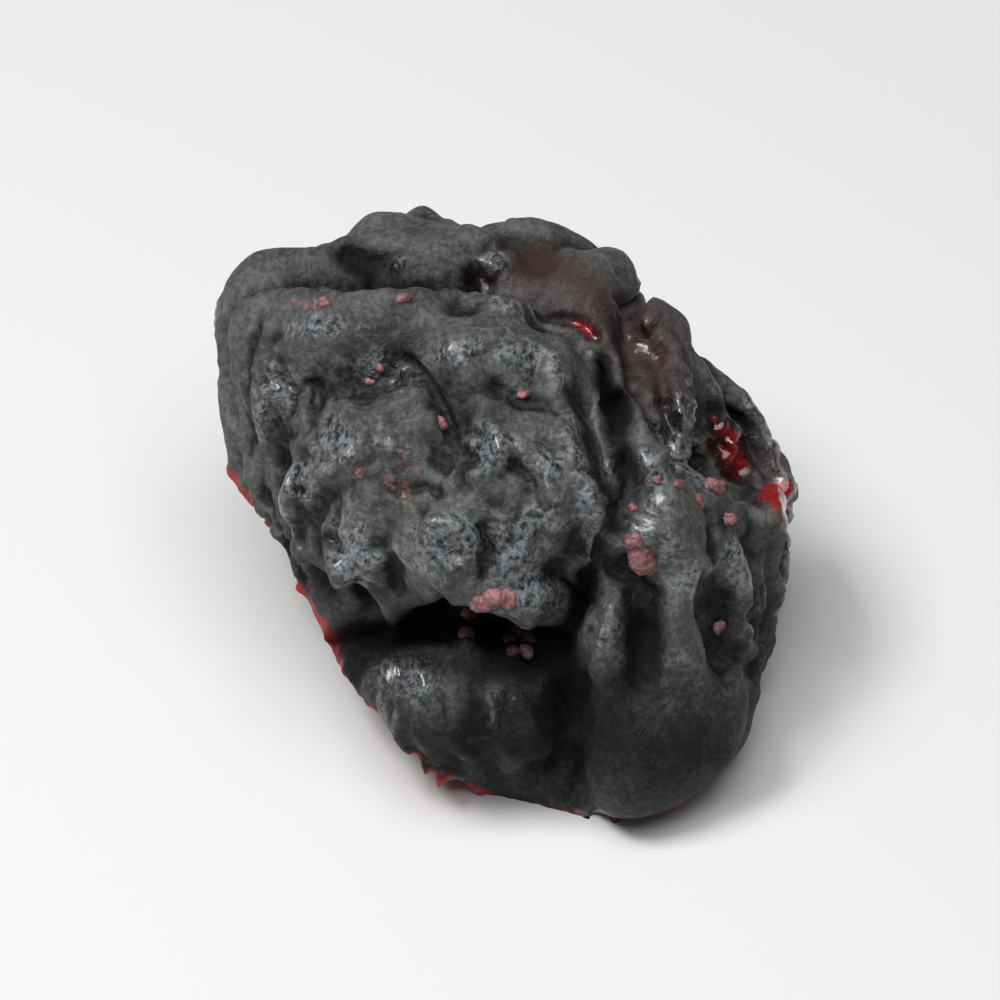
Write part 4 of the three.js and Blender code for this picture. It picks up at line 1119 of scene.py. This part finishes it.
class OBJECT_OT_plum_crumbs(bpy.types.Operator):
    """Add the crumbs of dried flesh that are stuck to the skin"""
    bl_idname = "object.plum_crumbs"
    bl_label = "Add Crumbs"

    def execute(self, context):
        fruit = bpy.data.objects["plum_half"]
        points, quads = grid_of(fruit.data)
        sight = Sight(points / MM - SHIFT, quads)
        made = []
        for at, size, turn in CRUMBS:
            start = AIM + FRONT["across"] * at[0] + FRONT["up"] * at[1] + FRONT["towards"] * FAR
            hit, normal, _, _ = sight.tree.ray_cast(Vector(start), Vector(-FRONT["towards"]))
            facing = (normal + Vector(FRONT["towards"])).normalized()
            lie = facing.to_track_quat("Z", "Y").to_matrix().to_4x4()
            deselect()
            bpy.ops.mesh.primitive_ico_sphere_add(subdivisions=3, radius=1)
            crumb = context.object
            form = Matrix.Diagonal((size[0] / 2, size[1] / 2, CRUMB_RISE * min(size), 1))
            turned = Matrix.Rotation(math.radians(turn), 4, "Z")
            place = Matrix.Translation(Vector(hit) + Vector(SHIFT)) @ lie @ turned
            crumb.data.transform(Matrix.Scale(MM, 4) @ place @ form)
            made.append(crumb)
        deselect()
        for crumb in made:
            crumb.select_set(True)
        context.view_layer.objects.active = made[0]
        bpy.ops.object.join()
        crumbs = context.object
        fused = crumbs.modifiers.new("fused", "REMESH")
        fused.mode, fused.voxel_size = "VOXEL", CRUMB_GRID
        bpy.ops.object.modifier_apply(modifier="fused")
        evener = crumbs.modifiers.new("evener", "SMOOTH")
        evener.factor, evener.iterations = 0.5, 5
        bpy.ops.object.modifier_apply(modifier="evener")
        for name, size, strength in CRUMB_BUMPS:
            texture = bpy.data.textures.new("crumb_" + name, "CLOUDS")
            texture.noise_scale = size
            texture.noise_depth = 2
            lumpy = crumbs.modifiers.new(name, "DISPLACE")
            lumpy.texture, lumpy.texture_coords = texture, "LOCAL"
            lumpy.strength, lumpy.mid_level = strength, 0.45
            bpy.ops.object.modifier_apply(modifier=name)
        crumbs.name = "skin_crumbs"
        crumbs.data.name = "skin_crumbs"
        crumbs.data.materials.append(crumb_material(context.scene.plum_colours))
        bpy.ops.object.shade_smooth()
        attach(crumbs, "root")
        return {"FINISHED"}


# Lights, all square and turned to the fruit: name, place and side in metres, power in watts.
SOFTBOXES = (
    ("top_softbox", (0.0, -0.14, 0.58), 0.5, 2.6),
    ("key_softbox", (-0.24, -0.06, 0.48), 0.18, 1.9),
)
SKY_COLOUR, SKY_STRENGTH = (0.93, 0.96, 1.0, 1), 0.07
LOOKS_AT = Vector((0.0, 0.0, 0.0115))
LENS = 240  # in mm, long, so that the fruit is seen as flat as in the photograph
NEAREST = 0.01


class OBJECT_OT_plum_stage(bpy.types.Operator):
    """Add the pale floor, the soft lights and the camera"""
    bl_idname = "object.plum_stage"
    bl_label = "Add Stage"

    def execute(self, context):
        stage = context.scene.plum_stage
        deselect()
        bpy.ops.mesh.primitive_plane_add(size=stage.floor_size)
        floor = context.object
        floor.name = "floor"
        pale = bpy.data.materials.new("pale_floor")
        pale.use_nodes = True
        paint = pale.node_tree.nodes["Principled BSDF"]
        paint.inputs["Base Color"].default_value = (*stage.floor_colour, 1)
        paint.inputs["Roughness"].default_value = 0.6
        floor.data.materials.append(pale)

        world = bpy.data.worlds.new("soft_light") if not context.scene.world else context.scene.world
        context.scene.world = world
        world.use_nodes = True
        world.node_tree.nodes["Background"].inputs["Color"].default_value = SKY_COLOUR
        world.node_tree.nodes["Background"].inputs["Strength"].default_value = SKY_STRENGTH
        for name, place, size, power in SOFTBOXES:
            bpy.ops.object.light_add(type="AREA", location=place)
            lamp = context.object
            lamp.name = name
            lamp.data.shape = "SQUARE"
            lamp.data.size = size
            lamp.data.energy = power
            lamp.rotation_euler = Vector(place).to_track_quat("Z", "Y").to_euler()

        bpy.ops.object.camera_add()
        camera = context.object
        camera.name = "camera"
        towards = Vector((0, -math.cos(stage.elevation), math.sin(stage.elevation)))
        camera.location = LOOKS_AT + towards * stage.distance
        camera.rotation_euler = towards.to_track_quat("Z", "Y").to_euler()
        camera.data.lens = LENS
        camera.data.clip_start = NEAREST
        context.scene.camera = camera
        context.scene.view_settings.view_transform = "Standard"
        return {"FINISHED"}


class VIEW3D_PT_plum(bpy.types.Panel):
    bl_label = "Dried Plum Half"
    bl_idname = "VIEW3D_PT_plum"
    bl_space_type = "VIEW_3D"
    bl_region_type = "UI"
    bl_category = "Dried Plum"

    def draw(self, context):
        for group in (context.scene.plum_form, context.scene.plum_colours, context.scene.plum_stage):
            for name in group.__annotations__:
                self.layout.prop(group, name)
        for operator in (OBJECT_OT_plum_fruit, OBJECT_OT_plum_crumbs, OBJECT_OT_plum_stage):
            self.layout.operator(operator.bl_idname)


CLASSES = (
    PlumForm, PlumColours, PlumStage,
    OBJECT_OT_plum_fruit, OBJECT_OT_plum_crumbs, OBJECT_OT_plum_stage, VIEW3D_PT_plum,
)


def register():
    for cls in CLASSES:
        bpy.utils.register_class(cls)
    bpy.types.Scene.plum_form = PointerProperty(type=PlumForm)
    bpy.types.Scene.plum_colours = PointerProperty(type=PlumColours)
    bpy.types.Scene.plum_stage = PointerProperty(type=PlumStage)


def unregister():
    del bpy.types.Scene.plum_form
    del bpy.types.Scene.plum_colours
    del bpy.types.Scene.plum_stage
    for cls in reversed(CLASSES):
        bpy.utils.unregister_class(cls)


def main():
    register()
    bpy.ops.object.plum_fruit()
    bpy.ops.object.plum_crumbs()
    bpy.ops.object.plum_stage()


if __name__ == "__main__":
    main()
